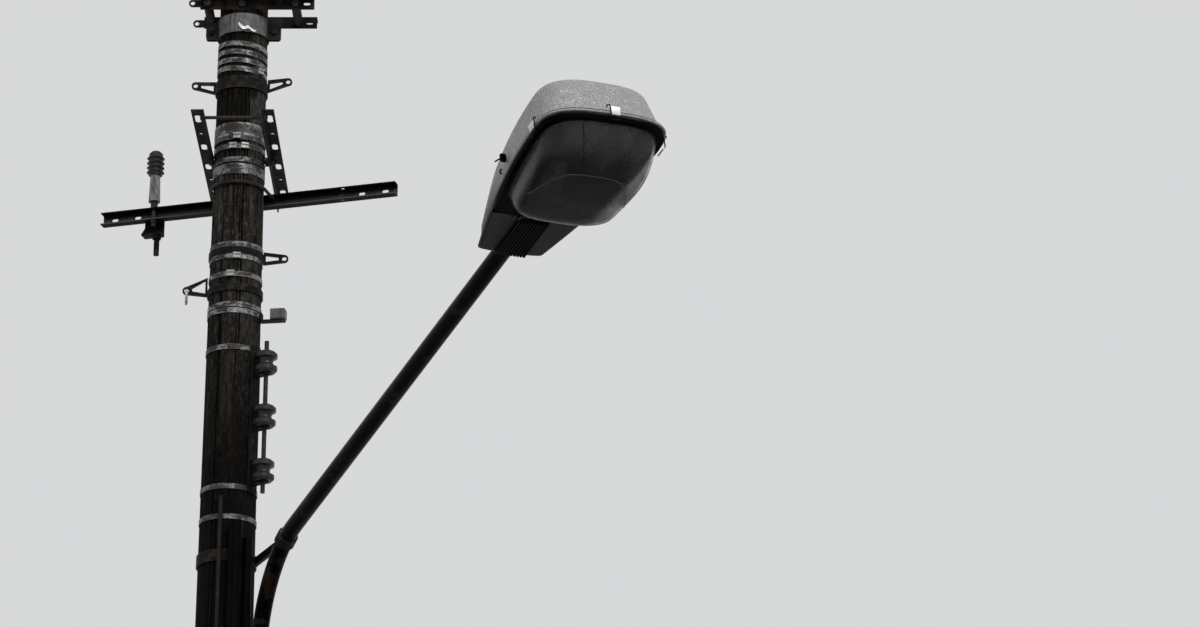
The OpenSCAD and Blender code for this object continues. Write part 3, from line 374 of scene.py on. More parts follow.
def weathered(name, pale, dark, warmth=0.0, metallic=0.5, rough=(0.42, 0.7), grain=60, rust=0.25,
              streak=0.5, pits=0.0006, edge=0.0015, worn=None, gloss=0.12, fuzz=0.0, dust=None, underside_shade=None,
              dark_beyond=None, shade_above=None):
    """Metal that has stood outside: blotches, runs down it, rust, worn edges, a fine bump

    pale, dark and worn are the greys of the metal and of its rubbed edges. dust is the grey of upward faces,
    dust that also paints a highlight on their tops; the grey given for faces that look down paints shade on them.
    dark_beyond is the distance from the middle beyond which the metal is made near black, and the height given
    for painted shade is where shade starts to darken the metal above it. pits is the depth of the bump and edge
    the reach of wear, in metres.
    """
    g = Graph(name)
    at, down = g.place(), g.place((1, 1, 0.08))
    blotch = g.noise(at, grain * 0.35, 6, 0.6)
    fine = g.noise(at, grain * 4, 5, 0.65)
    runs = g.noise(down, grain * 1.3, 5, 0.6)
    base = g.ramp(blotch, (0.30, tint(dark, warmth)), (0.52, tint((pale + dark) / 2, warmth)),
                  (0.72, tint(pale, warmth)))
    base = g.mix(g.band(fine, 0.45, 0.75, 0, 0.55), base, tint(pale * 1.35, warmth))
    base = g.mix(g.band(runs, 0.50, 0.72, 0, streak), base, tint(dark * 0.55, warmth))
    if rust:
        spots = g.math("MULTIPLY", g.noise(at, grain * 0.8, 8, 0.7), g.band(blotch, 0.35, 0.62))
        rusty = g.band(spots, 0.40 - 0.12 * rust, 0.52 - 0.12 * rust, 0, min(1, 0.35 + rust))
        base = g.mix(rusty, base, g.mix(fine, RUST, tint(0.03, 0.35)))
    rubbed = g.math("MULTIPLY", g.edges(edge), g.band(fine, 0.35, 0.6))
    base = g.mix(g.math("MULTIPLY", rubbed, 0.6), base, tint(worn or min(1, pale * 2.2), warmth))
    if dark_beyond:
        away = g.math("ABSOLUTE", g.add("SeparateXYZ", {"Vector": at}).outputs["X"])
        base = g.mix(g.band(away, dark_beyond, dark_beyond + 0.012, 0, 0.88), base, tint(0.004, 0.15))
    # painted shade on faces that look down
    if underside_shade:
        base = g.mix(g.band(g.height(g.facing()), -0.5, -0.9, 0, 0.97), base, tint(underside_shade, 0.1))
    # painted shade above the given height
    if shade_above:
        base = g.mix(g.band(g.height(at), shade_above, shade_above + 0.010, 0, 0.9), base, tint(0.002, 0.1))
    # paler upward faces: dust that also paints a highlight on their tops
    if dust:
        upward = g.math("ADD", g.height(g.facing()), g.math("MULTIPLY", blotch, 0.35))
        settled = g.math("MULTIPLY", g.band(upward, 0.30, 0.95), g.band(fine, 0.25, 0.6, 0.45, 1))
        base = g.mix(settled, base, tint(dust, 0.03))
    rise = g.math("ADD", g.math("MULTIPLY", fine, 0.4), g.noise(at, grain * 1.5, 4))
    return g.finish(Base_Color=base, Metallic=metallic, Roughness=g.band(fine, 0.3, 0.7, *rough),
                    Specular_IOR_Level=gloss, Sheen_Weight=fuzz, Sheen_Roughness=0.35,
                    Normal=g.bump(rise, 0.6, pits))


def timber():
    """Old creosoted pole: grain along the stored direction, checks with painted shade in them, painted shade round the
    middle bands, mottled and tarred patches
    """
    g = Graph("pole_wood")
    stored = "grain"
    tar_and_shade_black, check_shade_black = tint(0.0012, 0.2), tint(0.0008, 0.2)
    at = g.place((1, 1, 1), stored)
    fine = g.noise(g.place((1, 1, 0.012), stored), 420, 5, 0.6, 0.3)
    year = g.noise(g.place((1, 1, 0.035), stored), 130, 6, 0.62, 0.6)
    patch = g.noise(g.place((1, 1, 0.4), stored), 9, 7, 0.62, 0.4)
    tar = g.noise(g.place((1, 1, 0.22), stored), 21, 8, 0.7, 0.8)
    mottle = g.noise(g.place((1, 1, 0.45), stored), 75, 7, 0.7, 0.9)
    speck = g.noise(at, 260, 4, 0.6)
    # the grain, with bleached and tarred patches
    base = g.ramp(year, (0.34, tint(0.0024, 0.16)), (0.48, tint(0.013, 0.18)), (0.58, tint(0.036, 0.16)),
                  (0.70, tint(0.100, 0.12)))
    bleached = g.mix(g.band(fine, 0.40, 0.62), tint(0.026, 0.14), tint(0.150, 0.10))
    base = g.mix(g.band(patch, 0.46, 0.60, 0, 0.85), base, bleached)
    base = g.mix(g.band(tar, 0.47, 0.60, 0, 0.92), base, tint(0.0014, 0.2))
    base = g.mix(g.band(fine, 0.42, 0.54, 0.50, 0), base, tint(0.0015, 0.1))
    # soft mottling and pale specks over it
    soft = g.ramp(mottle, (0.38, tint(0.004, 0.16)), (0.51, tint(0.024, 0.15)), (0.66, tint(0.095, 0.13)))
    base = g.mix(g.band(tar, 0.47, 0.60, 0.65, 0.30), base, soft)
    base = g.mix(g.band(speck, 0.60, 0.70, 0, 0.5), base, tint(0.08, 0.12))
    # tar low on the pole, and painted shade of the hanging cables from just under the middle bands upwards, less on
    # the right
    split = g.add("SeparateXYZ", {"Vector": at})
    level = split.outputs["Z"]
    base = g.mix(g.band(level, *TARRED_UP_TO, 0.90, 0), base, tar_and_shade_black)
    painted_shade = g.math("MULTIPLY", g.band(level, *SHADED_FROM, 0, 0.80),
                    g.band(split.outputs["X"], 0.030, 0.062, 1, 0.15))
    base = g.mix(painted_shade, base, tar_and_shade_black)
    # bare, weathered wood at the foot
    bare = g.ramp(year, (0.32, tint(0.010, 0.22)), (0.50, tint(0.030, 0.24)), (0.70, tint(0.085, 0.20)))
    bare = g.mix(g.band(tar, 0.46, 0.62, 0, 0.8), bare, tint(0.006, 0.2))
    bare = g.mix(g.band(fine, 0.42, 0.56, 0.6, 0), bare, tint(0.005, 0.15))
    base = g.mix(g.band(level, *BARE_BELOW, 0.9, 0), base, bare)
    # knots, and painted shade in the checks, where the mesh has them
    base = g.mix(g.math("MULTIPLY", g.stored("knot"), 0.85), base, tint(0.003, 0.3))
    base = g.mix(g.band(g.stored("check"), 0.08, 0.5), base, check_shade_black)
    rise = g.math("ADD", g.math("MULTIPLY", fine, 0.55), year)
    rise = g.math("ADD", rise, g.math("MULTIPLY", speck, 0.3))
    return g.finish(Base_Color=base, Roughness=g.band(tar, 0.4, 0.62, 0.93, 0.62),
                    Specular_IOR_Level=0.03, Normal=g.bump(rise, 0.9, 0.0022))


# Strips of the middle bands with grime and painted shade on their lower parts, top edges left bright: lowest and
# highest point, and how dark it is
GRIME_AND_SHADE_STRIPS = ((7.706, 7.736, 0.80), (7.676, 7.694, 0.90), (7.642, 7.666, 0.60))


def strap_metal(name, clean, worn, grime):
    """Stainless strap: brushed round the pole, grime in patches and runs, painted shade low on the middle bands,
    bright scuffs and edges
    """
    g = Graph(name)
    at, squat = g.place(), g.place((1, 1, 1.8))
    brushed = g.noise(g.place((0.06, 0.06, 1)), 900, 3, 0.5)
    smear = g.noise(squat, 26, 7, 0.66, 0.5)
    runs = g.noise(g.place((1, 1, 0.12)), 110, 5, 0.62)
    fine = g.noise(at, 380, 5, 0.65)
    base = g.ramp(brushed, (0.3, tint(clean * 0.7, 0.01)), (0.7, tint(clean * 1.25, 0.01)))
    dirt = g.mix(fine, tint(grime, 0.2), tint(grime * 3, 0.1))
    base = g.mix(g.band(smear, 0.41, 0.54, 0, 0.94), base, dirt)
    base = g.mix(g.band(runs, 0.52, 0.66, 0, 0.65), base, tint(grime, 0.15))
    level = g.height(at)
    settled = g.band(g.noise(squat, 15, 5, 0.6), 0.50, 0.60, 1, 0.15)
    # grime, and painted shade that leaves each band's top edge bright
    for low, high, share in GRIME_AND_SHADE_STRIPS:
        strip = g.math("MULTIPLY", g.band(level, low - 0.001, low), g.band(level, high, high + 0.003, 1, 0))
        strip = g.math("MULTIPLY", strip, g.math("MULTIPLY", settled, share))
        base = g.mix(strip, base, tint(grime * 2.5, 0.08))
    rust = g.math("MULTIPLY", g.band(smear, 0.40, 0.60), fine)
    base = g.mix(g.band(rust, 0.44, 0.56, 0, 0.45), base, RUST)
    scuff = g.math("MULTIPLY", g.edges(0.0015), g.band(fine, 0.38, 0.6))
    base = g.mix(g.math("MULTIPLY", scuff, 0.7), base, tint(worn, 0))
    return g.finish(Base_Color=base, Metallic=g.band(smear, 0.44, 0.60, 0.45, 0.1), Specular_IOR_Level=0.2,
                    Roughness=g.band(fine, 0.3, 0.7, 0.30, 0.55),
                    Normal=g.bump(g.math("ADD", fine, brushed), 0.5, 0.0005))


def cast_skin():
    """Oxidised cast aluminium: a fine crystal grain, runs down the sides, pale specks"""
    g = Graph("lamp_aluminium")
    at = g.place()
    crystal = g.cells(g.place((1, 1, 0.5)), 340)
    fine = g.noise(at, 420, 4, 0.6)
    runs = g.noise(g.place((1, 1, 0.22)), 330, 4, 0.65)
    cloud = g.noise(at, 24, 5, 0.6)
    base = g.ramp(runs, (0.34, tint(0.15, 0.01)), (0.5, tint(0.25, 0.01)), (0.66, tint(0.40, 0.01)))
    base = g.mix(g.band(cloud, 0.42, 0.62, 0, 0.35), base, tint(0.20, 0.02))
    base = g.mix(0.35, base, g.ramp(crystal, (0.1, 0.25), (0.9, 0.75)), "OVERLAY")
    base = g.mix(g.band(fine, 0.5, 0.75, 0, 0.30), base, tint(0.44, 0.01))
    speck = g.band(g.noise(g.place((1, 1, 0.45)), 380, 1, 0.3), 0.655, 0.72)
    spread = g.band(g.noise(at, 11, 3), 0.42, 0.60, 0, 0.85)
    base = g.mix(g.math("MULTIPLY", speck, spread), base, tint(0.85, 0.0))
    rubbed = g.math("MULTIPLY", g.edges(0.003), g.band(fine, 0.35, 0.6))
    base = g.mix(g.math("MULTIPLY", rubbed, 0.35), base, tint(0.55, 0.0))
    near_neck = g.math("MULTIPLY", g.stored("grime"), g.band(runs, 0.3, 0.7, 1, 0.80))
    base = g.mix(near_neck, base, tint(0.014, 0.05))
    return g.finish(Base_Color=base, Metallic=0.15, Roughness=g.band(fine, 0.3, 0.7, 0.5, 0.78),
                    Specular_IOR_Level=0.3, Normal=g.bump(g.math("ADD", fine, runs), 0.7, 0.0009))


def glazed(name, colour, dirty, rough):
    """Glazed or moulded insulator with dirt held in streaks"""
    g = Graph(name)
    dirt = g.noise(g.place((1, 1, 0.35)), 45, 7, 0.66, 0.4)
    fine = g.noise(g.place(), 405, 4, 0.6)
    amount = g.band(dirt, 0.42, 0.66, 0, 0.85)
    base = g.mix(amount, colour, g.mix(fine, dirty, tint(0.02, 0.2)))
    return g.finish(Base_Color=base, Roughness=g.band(dirt, 0.4, 0.65, rough, 0.75),
                    Specular_IOR_Level=0.3, Normal=g.bump(g.math("ADD", fine, dirt), 0.35, 0.0005))


def smoky_bowl():
    """Clear acrylic gone smoky, with dust on it, and grime and painted shade low in it"""
    g = Graph("bowl_glass")
    dust = g.noise(g.place((1, 1, 0.5)), 14, 8, 0.66, 0.5)
    fine = g.noise(g.place(), 240, 4, 0.6)
    craze = g.noise(g.place((1, 0.15, 1)), 160, 5, 0.6)
    base = g.mix(g.band(dust, 0.42, 0.62), tint(0.47, 0.02), tint(0.30, 0.04))
    # darker low in the bowl: grime and the painted shade of its dark inside, less on the right as painted light
    sump = g.math("MULTIPLY", g.stored("sump"), g.band(dust, 0.30, 0.62, 0.7, 1))
    base = g.mix(sump, base, tint(0.016, 0.03))
    return g.finish(IOR=1.14, Base_Color=base, Transmission_Weight=g.band(dust, 0.40, 0.72, 0.98, 0.86),
                    Roughness=g.band(dust, 0.4, 0.65, 0.16, 0.30),
                    Normal=g.bump(g.math("ADD", fine, craze), 0.08, 0.0003))


METALS = {
    "arm_steel": dict(pale=0.013, dark=0.0015, warmth=0.03, metallic=0.2, rough=(0.5, 0.75), grain=55,
                      streak=0.6, worn=0.10, gloss=0.05),
    # A paler copy of arm_steel for the crossarm: its pale web is dust and painted highlight, with painted shade on its
    # undersides and under its upper flange
    "crossarm_steel": dict(pale=0.105, dark=0.030, warmth=0.02, metallic=0.2, rough=(0.5, 0.75), grain=55,
                           rust=0.12, streak=0.4, worn=0.20, gloss=0.03, underside_shade=0.0008,
                           shade_above=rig.box("main_crossarm")[0].z + FLANGE_SHADE_FROM),
    "bolt_steel": dict(pale=0.045, dark=0.008, warmth=0.05, metallic=0.35, rough=(0.4, 0.7), grain=120,
                       rust=0.5, streak=0.4, gloss=0.08),
    "dark_steel": dict(pale=0.010, dark=0.0015, warmth=0.06, metallic=0.25, rough=(0.5, 0.8), grain=70,
                       rust=0.3, gloss=0.06),
    "forged_steel": dict(pale=0.015, dark=0.002, warmth=0.04, metallic=0.25, rough=(0.45, 0.75), grain=75,
                         worn=0.22, gloss=0.06),
    "bright_steel": dict(pale=0.50, dark=0.20, metallic=0.35, rough=(0.25, 0.5), grain=95, rust=0.10,
                         streak=0.3),
    "clip_plate": dict(pale=0.85, dark=0.62, metallic=0.15, rough=(0.4, 0.6), grain=120, rust=0, streak=0.15),
    "clamp_grey": dict(pale=0.20, dark=0.04, warmth=0.02, metallic=0.25, rough=(0.5, 0.75), grain=65,
                       rust=0.15, streak=0.8, worn=0.35, gloss=0.1, dark_beyond=CLAMP_EARS_FROM),
    "riser_dark": dict(pale=0.0025, dark=0.0006, warmth=0.05, metallic=0.1, rough=(0.45, 0.65), grain=40,
                       rust=0, streak=0.4, worn=0.012, gloss=0.025),
    "earth_grey": dict(pale=0.016, dark=0.004, warmth=0.02, metallic=0.2, rough=(0.4, 0.65), grain=45,
                       rust=0.1),
    # The pipe's dust on its upward faces also paints the highlight on its sky-lit top
    "pipe_steel": dict(pale=0.0018, dark=0.0005, warmth=0.04, metallic=0.1, rough=(0.3, 0.5), grain=32,
                       rust=0.1, streak=0.6, worn=0.03, gloss=0.004, dust=0.085, fuzz=0.25),
    "lamp_dark": dict(pale=0.018, dark=0.007, metallic=0.2, rough=(0.45, 0.7), grain=80, rust=0, streak=0.3),
    "frame_black": dict(pale=0.0016, dark=0.0006, metallic=0.1, rough=(0.45, 0.7), grain=70, rust=0,
                        streak=0.3, pits=0.0005, edge=0.001, worn=0.006, gloss=0.01),
    "fin_dark": dict(pale=0.007, dark=0.0025, metallic=0.1, rough=(0.5, 0.75), grain=80, rust=0, streak=0.3,
                     pits=0.0005, edge=0.001, worn=0.035, gloss=0.03),
    "reflector_metal": dict(pale=0.24, dark=0.12, warmth=0.02, metallic=0.7, rough=(0.25, 0.45), grain=50,
                            rust=0, streak=0.2),
    "bowl_pale": dict(pale=0.16, dark=0.07, metallic=0.0, rough=(0.4, 0.6), grain=80, rust=0, streak=0.3),
}

# Colour, colour of the dirt, roughness where it is clean
GLAZES = {
    "pale_polymer": (tint(0.20, 0.03), tint(0.05, 0.1), 0.45),
    "dark_polymer": (tint(0.012, 0.05), tint(0.030, 0.1), 0.4),
    "box_grey": (tint(0.10, 0.02), tint(0.02, 0.1), 0.5),
    "porcelain": (tint(0.012, 0.04), tint(0.004, 0.2), 0.25),
    "lamp_ceramic": (tint(0.6, 0.04), tint(0.2, 0.2), 0.3),
    "bulb_white": (tint(0.75, 0.02), tint(0.4, 0.1), 0.2),
}


def make_materials():
    """Every finish by name: the record's slots, and a few for pieces that look different from their slot"""
    made = {name: weathered(name, **look) for name, look in METALS.items()}
    made.update({name: glazed(name, *look) for name, look in GLAZES.items()})
    made.update(pole_wood=timber(), lamp_aluminium=cast_skin(), bowl_glass=smoky_bowl(),
                strap_steel=strap_metal("strap_steel", clean=0.23, worn=0.75, grime=0.007),
                pale_band=strap_metal("pale_band", clean=0.17, worn=0.35, grime=0.010))
    return made


# Nodes that get another finish than the one of their slot
OTHER_FINISH = {"lamp_neck_fins": "fin_dark", "main_crossarm": "crossarm_steel"}


def dress_nodes(materials):
    """Every carried-over solid gets the finish that the record names for it"""
    for node in NODES.values():
        for spot in node.material_slots:
            finish = OTHER_FINISH.get(node.name, spot.material.name.split(".")[0])
            spot.material = materials[finish]


# ---------------------------------------------------------------- mesh helper
def piece(name, points, faces, material, body="root", stands_for=(), smooth=True, slot=None):
    """A mesh object that rides on a body, with its faces turned outwards"""
    mesh = bpy.data.meshes.new(name)
    mesh.from_pydata([tuple(p) for p in points], [], faces)
    mesh.materials.append(material)
    mesh.validate()
    work = bmesh.new()
    work.from_mesh(mesh)
    bmesh.ops.recalc_face_normals(work, faces=work.faces)
    work.to_mesh(mesh)
    work.free()
    mesh.polygons.foreach_set("use_smooth", [smooth] * len(mesh.polygons))
    mesh.update()
    made = bpy.data.objects.new(name, mesh)
    bpy.context.scene.collection.objects.link(made)
    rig.ride(made, body)
    if stands_for:
        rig.replaces(made, *stands_for)
    if slot:
        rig.slot(made, slot)
    return made


def store(made, name, values):
    """Keeps a number for each point on the mesh, for its material"""
    made.data.attributes.new(name, "FLOAT", "POINT").data.foreach_set("value", values)


def join(points, faces, more, around):
    """Adds one more body to the points and faces of a piece"""
    faces += [tuple(len(points) + v for v in face) for face in around]
    points += more


def loft(rings, first, last):
    """Points and faces of a skin through rings of equal length, closed at its ends where asked"""
    n = len(rings[0])
    faces = [(r * n + c, r * n + (c + 1) % n, (r + 1) * n + (c + 1) % n, (r + 1) * n + c)
             for r in range(len(rings) - 1) for c in range(n)]
    if first:
        faces.append(tuple(reversed(range(n))))
    if last:
        faces.append(tuple((len(rings) - 1) * n + c for c in range(n)))
    return [p for ring in rings for p in ring], faces


def shell(outer, inner):
    """Points and faces of a hollow shell: two skins, joined round their open edge"""
    points, faces = loft(outer, False, True)
    more, inside = loft(inner, False, True)
    base, n = len(points), len(outer[0])
    faces += [tuple(base + v for v in reversed(face)) for face in inside]
    faces += [(base + c, base + (c + 1) % n, (c + 1) % n, c) for c in range(n)]
    return points + more, faces


def unit(value):
    """The value, kept between 0 and 1"""
    return max(0.0, min(1.0, value))


# ---------------------------------------------------------------- pole
GROUND_R, TAPER, POLE_TOP, ROOF = 0.135, 0.05 / 8.6, 8.6, 0.025
COLUMNS = 176
# Rings of the skin below and above the height that the camera sees, and those of the top
COARSE_ROWS, FINE_ROWS, FINE_FROM = 228, 262, 5.7
TOP_RINGS = (1.0, 0.8, 0.6, 0.4, 0.2, 0.03)
SEAT_STEP = 0.0006
KNOTS, KNOT_PULL, KNOT_SINK = 34, 0.35, 0.0022
# BLACK_CHECK is the depth at which the painted shade in a check is full
CHECKS, CHECK_DEPTHS, CHECK_FADE, BLACK_CHECK = 120, (0.002, 0.003, 0.004, 0.006, 0.009), 0.25, 0.004
HOLLOWS, RIDGES = 0.0014, 0.0011
# Twist of the grain with height, as reach, pace and start of two waves, and how far noise bends it
TWISTS, WANDER = ((0.10, 0.9, 0.4), (0.05, 2.3, 0.0)), 0.018
GRAIN_R = 0.11
TOP_SPLIT, TOP_DIP = 0.006, 0.0015


def pole_r(z):
    return GROUND_R - TAPER * z


def pole_rows(seat_low, seat_high):
    """Heights of the rings, with a step at each edge of the arm's seat"""
    rows = [FINE_FROM * i / COARSE_ROWS for i in range(COARSE_ROWS)]
    rows += [FINE_FROM + (POLE_TOP - ROOF - FINE_FROM) * i / FINE_ROWS for i in range(FINE_ROWS + 1)]
    rows = [z for z in rows if min(abs(z - seat_low), abs(z - seat_high)) > 5 * SEAT_STEP]
    return sorted(rows + [z + step for z in (seat_low, seat_high) for step in (-SEAT_STEP, SEAT_STEP)])


def draw_marks():
    """Knots (angle, height, size), and checks (start, end, depth) in each column"""
    knots = [(random.uniform(0, math.tau), random.uniform(0.4, 8.3), random.uniform(0.014, 0.030))
             for _ in range(KNOTS)]
    checks = {}
    for _ in range(CHECKS):
        column = random.randrange(COLUMNS)
        start, length = random.uniform(-0.6, 8.3), random.uniform(0.25, 2.6)
        checks.setdefault(column, []).append((start, start + length, random.choice(CHECK_DEPTHS)))
    return knots, checks


def bend_round(knots, angle, z, radius):
    """The angle bent by the knots near it, how far they sink it, and how much of a knot it is"""
    sink, knot = 0.0, 0.0
    for at, height, size in knots:
        off = (angle - at + math.pi) % math.tau - math.pi
        away = Vector((off * radius, (z - height) * 0.75)).length / size
        if away < 3:
            angle += KNOT_PULL * off * math.exp(-away * away)
            knot = max(knot, 1 - away)
            sink += KNOT_SINK * math.exp(-away * away) * (1 + math.cos(away * 9)) / 2
    return angle, sink, knot


def depth_of(checks, column, z):
    depth = 0.0
    for low, high, full in checks:
        if low < z < high:
            share = min(1, (z - low) / CHECK_FADE, (high - z) / CHECK_FADE)
            depth += full * share * (0.75 + 0.5 * noise.noise(Vector((column, z * 5, full))))
    return depth


def round_noise(plain, reach, z):
    """Noise that closes on itself round the pole"""
    return noise.noise(Vector((math.cos(plain) * reach, math.sin(plain) * reach, z)))


def make_pole(material):
    """Skin of the pole, pushed inwards only: checks, knots, hollows, seats for the top arms"""
    seat_from, seat_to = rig.box("top_arm_back")
    rows = pole_rows(seat_from.z, seat_to.z)
    knots, checks = draw_marks()
    around = [math.tau * column / COLUMNS for column in range(COLUMNS)]
    rings, grain, check_shade_share, knotted = [], [], [], []
    for z in rows:
        radius, ring = pole_r(z), []
        twist = sum(reach * math.sin(z * pace + start) for reach, pace, start in TWISTS)
        for column, plain in enumerate(around):
            angle = plain + twist + WANDER * round_noise(plain, 1, z * 1.6)
            angle, sink, knot = bend_round(knots, angle, z, radius)
            sink += depth_of(checks.get(column, ()), column, z)
            # painted shade in the check: the deeper, the darker
            check_shade_share.append(min(1, sink / BLACK_CHECK) if column in checks else 0.0)
            knotted.append(max(0.0, knot))
            grain += [GRAIN_R * math.cos(plain), GRAIN_R * math.sin(plain), z]
            sink += HOLLOWS * (1 + round_noise(plain, 1.4, z * 0.8)) / 2
            sink += RIDGES * (1 + round_noise(plain, 14, z * 1.1)) / 2
            x, y = (radius - sink) * math.cos(angle), (radius - sink) * math.sin(angle)
            if seat_from.z < z < seat_to.z:
                y = max(-seat_from.y, min(seat_from.y, y))
            ring.append((x, y, z))
        rings.append(ring)
    for share in TOP_RINGS:
        ring, r = [], (pole_r(POLE_TOP) - ROOF - 0.001) * share
        for plain in around:
            x, y = r * math.cos(plain), r * math.sin(plain)
            split = TOP_SPLIT * max(0, round_noise(plain, 3, 4)) * share
            dip = TOP_DIP * (1 + round_noise(plain, r * 40, 9))
            ring.append((x, y, POLE_TOP - dip - split))
            # painted shade in the splits of the top
            check_shade_share.append(split / TOP_SPLIT)
            knotted.append(0.0)
            grain += [x, y, POLE_TOP + r * 12]
        rings.append(ring)
    points, faces = loft(rings, True, True)
    made = piece("pole_skin", points, faces, material, stands_for=("pole_shaft",), slot="pole_wood")
    store(made, "check", check_shade_share)
    store(made, "knot", knotted)
    made.data.attributes.new("grain", "FLOAT_VECTOR", "POINT").data.foreach_set("vector", grain)


# ---------------------------------------------------------------- strap tail
# Path of the torn end of a strap over the front of the top clamp
TAIL = ((-0.0108, -0.0974, 8.1303), (-0.0033, -0.0985, 8.1209), (0.0060, -0.1000, 8.1119),
        (0.0149, -0.1005, 8.1107), (0.0219, -0.0990, 8.1161), (0.0290, -0.0960, 8.1146),
        (0.0362, -0.0935, 8.1079), (0.0433, -0.0905, 8.1038), (0.0519, -0.0845, 8.1044))
TAIL_HALF, TAIL_HALF_T, TAIL_LEAN = 0.0062, 0.0005, 18


def make_strap_tail(material):
    """A torn strap end that lies crumpled on the top clamp"""
    points, faces = [], []
    for i, (x, y, z) in enumerate(TAIL):
        lean = math.radians(TAIL_LEAN * math.sin(i * 1.7))
        half = TAIL_HALF * (1 - 0.5 * (i / (len(TAIL) - 1)) ** 3)
        up = Vector((0.25 * math.sin(i), -math.sin(lean), math.cos(lean))).normalized() * half
        out = Vector((0, -TAIL_HALF_T, 0))
        at = Vector((x, y, z))
        points += [at + up + out, at + up - out, at - up - out, at - up + out]
    for i in range(len(TAIL) - 1):
        faces += [(4 * i + k, 4 * i + (k + 1) % 4, 4 * i + 4 + (k + 1) % 4, 4 * i + 4 + k) for k in range(4)]
    last = 4 * (len(TAIL) - 1)
    faces += [(3, 2, 1, 0), (last, last + 1, last + 2, last + 3)]
    piece("strap_tail", points, faces, material, smooth=False)


# ---------------------------------------------------------------- lamp
# Where the arm starts on the pole, its heading, the tilt of its pipe and the roll of the lamp on it
FOOT_R, FOOT_ANGLE, HEADING, TILT, ROLL = 0.13851, -26.0, -65.0, 12.0, 2.4
BEND_R, BEND_Z, PIPE_L, PIPE_LIFT = 0.405, 5.751, 1.814, 0.032
LAMP_L, LAMP_W, BACK_W, BACK_H, NOSE_H, NOSE_START = 0.772, 0.405, 0.204, 0.078, 0.155, 0.650
SIDE_LEAN, NOSE_LEAN, CROWN_R, SHOULDER = 0.030, 0.045, 0.024, 0.84
NOSE_ROUND = LAMP_L - NOSE_START
BACK_ROUND, WALL = 0.014, 0.004
# Height and reach of the rolled lip, and how it meets the wall above it
LIP = ((0, 0.0036), (0.0035, 0.0042), (0.0065, 0.0036), (0.0085, 0.0014), (0.0095, -0.001))
LIP_FILLET, LIP_TOP, INNER_LIP = 0.0045, 0.075, 0.001
# Shares of the height where the fillet starts, how soon it is full, and where it has run out
FILLET_FROM, FILLET_SPAN, FILLET_TO = 0.06, 0.05, 0.75
# Length of the slope behind the roof, rings up the wall, over the shoulder and across the roof
SLOPE_L = 0.290
WALL_RINGS, CROWN_RINGS, ROOF_RINGS, ROOF_STEP, ROOF_RISE = 16, 14, 7, 0.013, 0.0006
BOWL_EDGE, BOWL_BACK, BOWL_ROUND = 0.0203, 0.2733, 0.096
BOWL_RINGS, BOWL_STEPS, BOWL_FREE = 48, 26, 6
# Grime at the neck: how far along and up it reaches
GRIME_TO, GRIME_FADE, GRIME_HEIGHT = 0.40, 0.26, 0.08
# Grime and painted shade low in the bowl: height where they start, and where they stop on the right side, left pale as
# painted light
GRIME_SHADE_TOP, GRIME_SHADE_FADE, LIT_SIDE, LIT_FADE, LIT_SHARE = -0.074, 0.030, 0.085, 0.055, 0.9


def turn(degrees, axis):
    return Matrix.Rotation(math.radians(degrees), 4, axis)


def lamp_frame():
    """+X from the lamp's back wall to its nose, the housing's rim on z = 0"""
    foot = Matrix.Rotation(math.radians(FOOT_ANGLE), 3, "Z") @ Vector((FOOT_R, 0, 0))
    arm = Matrix.Translation(foot) @ turn(HEADING, "Z") @ Matrix.Translation((BEND_R, 0, BEND_Z))
    line = arm @ turn(90 - TILT, "Y") @ Matrix.Translation((-BEND_R, 0, PIPE_L))
    return line @ turn(-90, "Y") @ turn(ROLL, "X") @ Matrix.Translation((0, 0, -PIPE_LIFT))


IN_LAMP = lamp_frame()


def in_lamp(points):
    """Points of the lamp's own frame, in the scene"""
    return [IN_LAMP @ Vector(p) for p in points]


def half_w(x):
    return BACK_W / 2 + (LAMP_W - BACK_W) / 2 * math.sin(math.pi / 2 * min(x, NOSE_START) / NOSE_START)


def ends(a):
    """Shares of an end's rounding along and across the lamp at the angle a"""
    return 1 - max(0, math.cos(a)) ** (2 / 3), max(0, math.sin(a)) ** (2 / 3)


def plan(inset, start, end, back_round, nose_round, z, steps=22):
    """Closed outline of the lamp at height z, drawn in by inset, with rounded ends"""
    side = []
    for i in range(steps + 1):
        along, across = ends(math.pi / 2 * i / steps)
        x = start + back_round * along
        side.append((x, (half_w(x) - inset) * across))
    for i in range(1, steps):
        x = start + back_round + (end - nose_round - start - back_round) * i / steps
        side.append((x, half_w(x) - inset))
    for i in range(steps, -1, -1):
        along, across = ends(math.pi / 2 * i / steps)
        x = end - nose_round * along
        side.append((x, (half_w(x) - inset) * across))
    whole = side + [(x, -y) for x, y in side[-2:0:-1]]
    return [(x, y, z) for x, y in whole]


def crown(t):
    """How far the rounded top edge is drawn in at the share t of the height"""
    return 0 if t < SHOULDER else CROWN_R * (1 - math.sqrt(1 - ((t - SHOULDER) / (1 - SHOULDER)) ** 2))


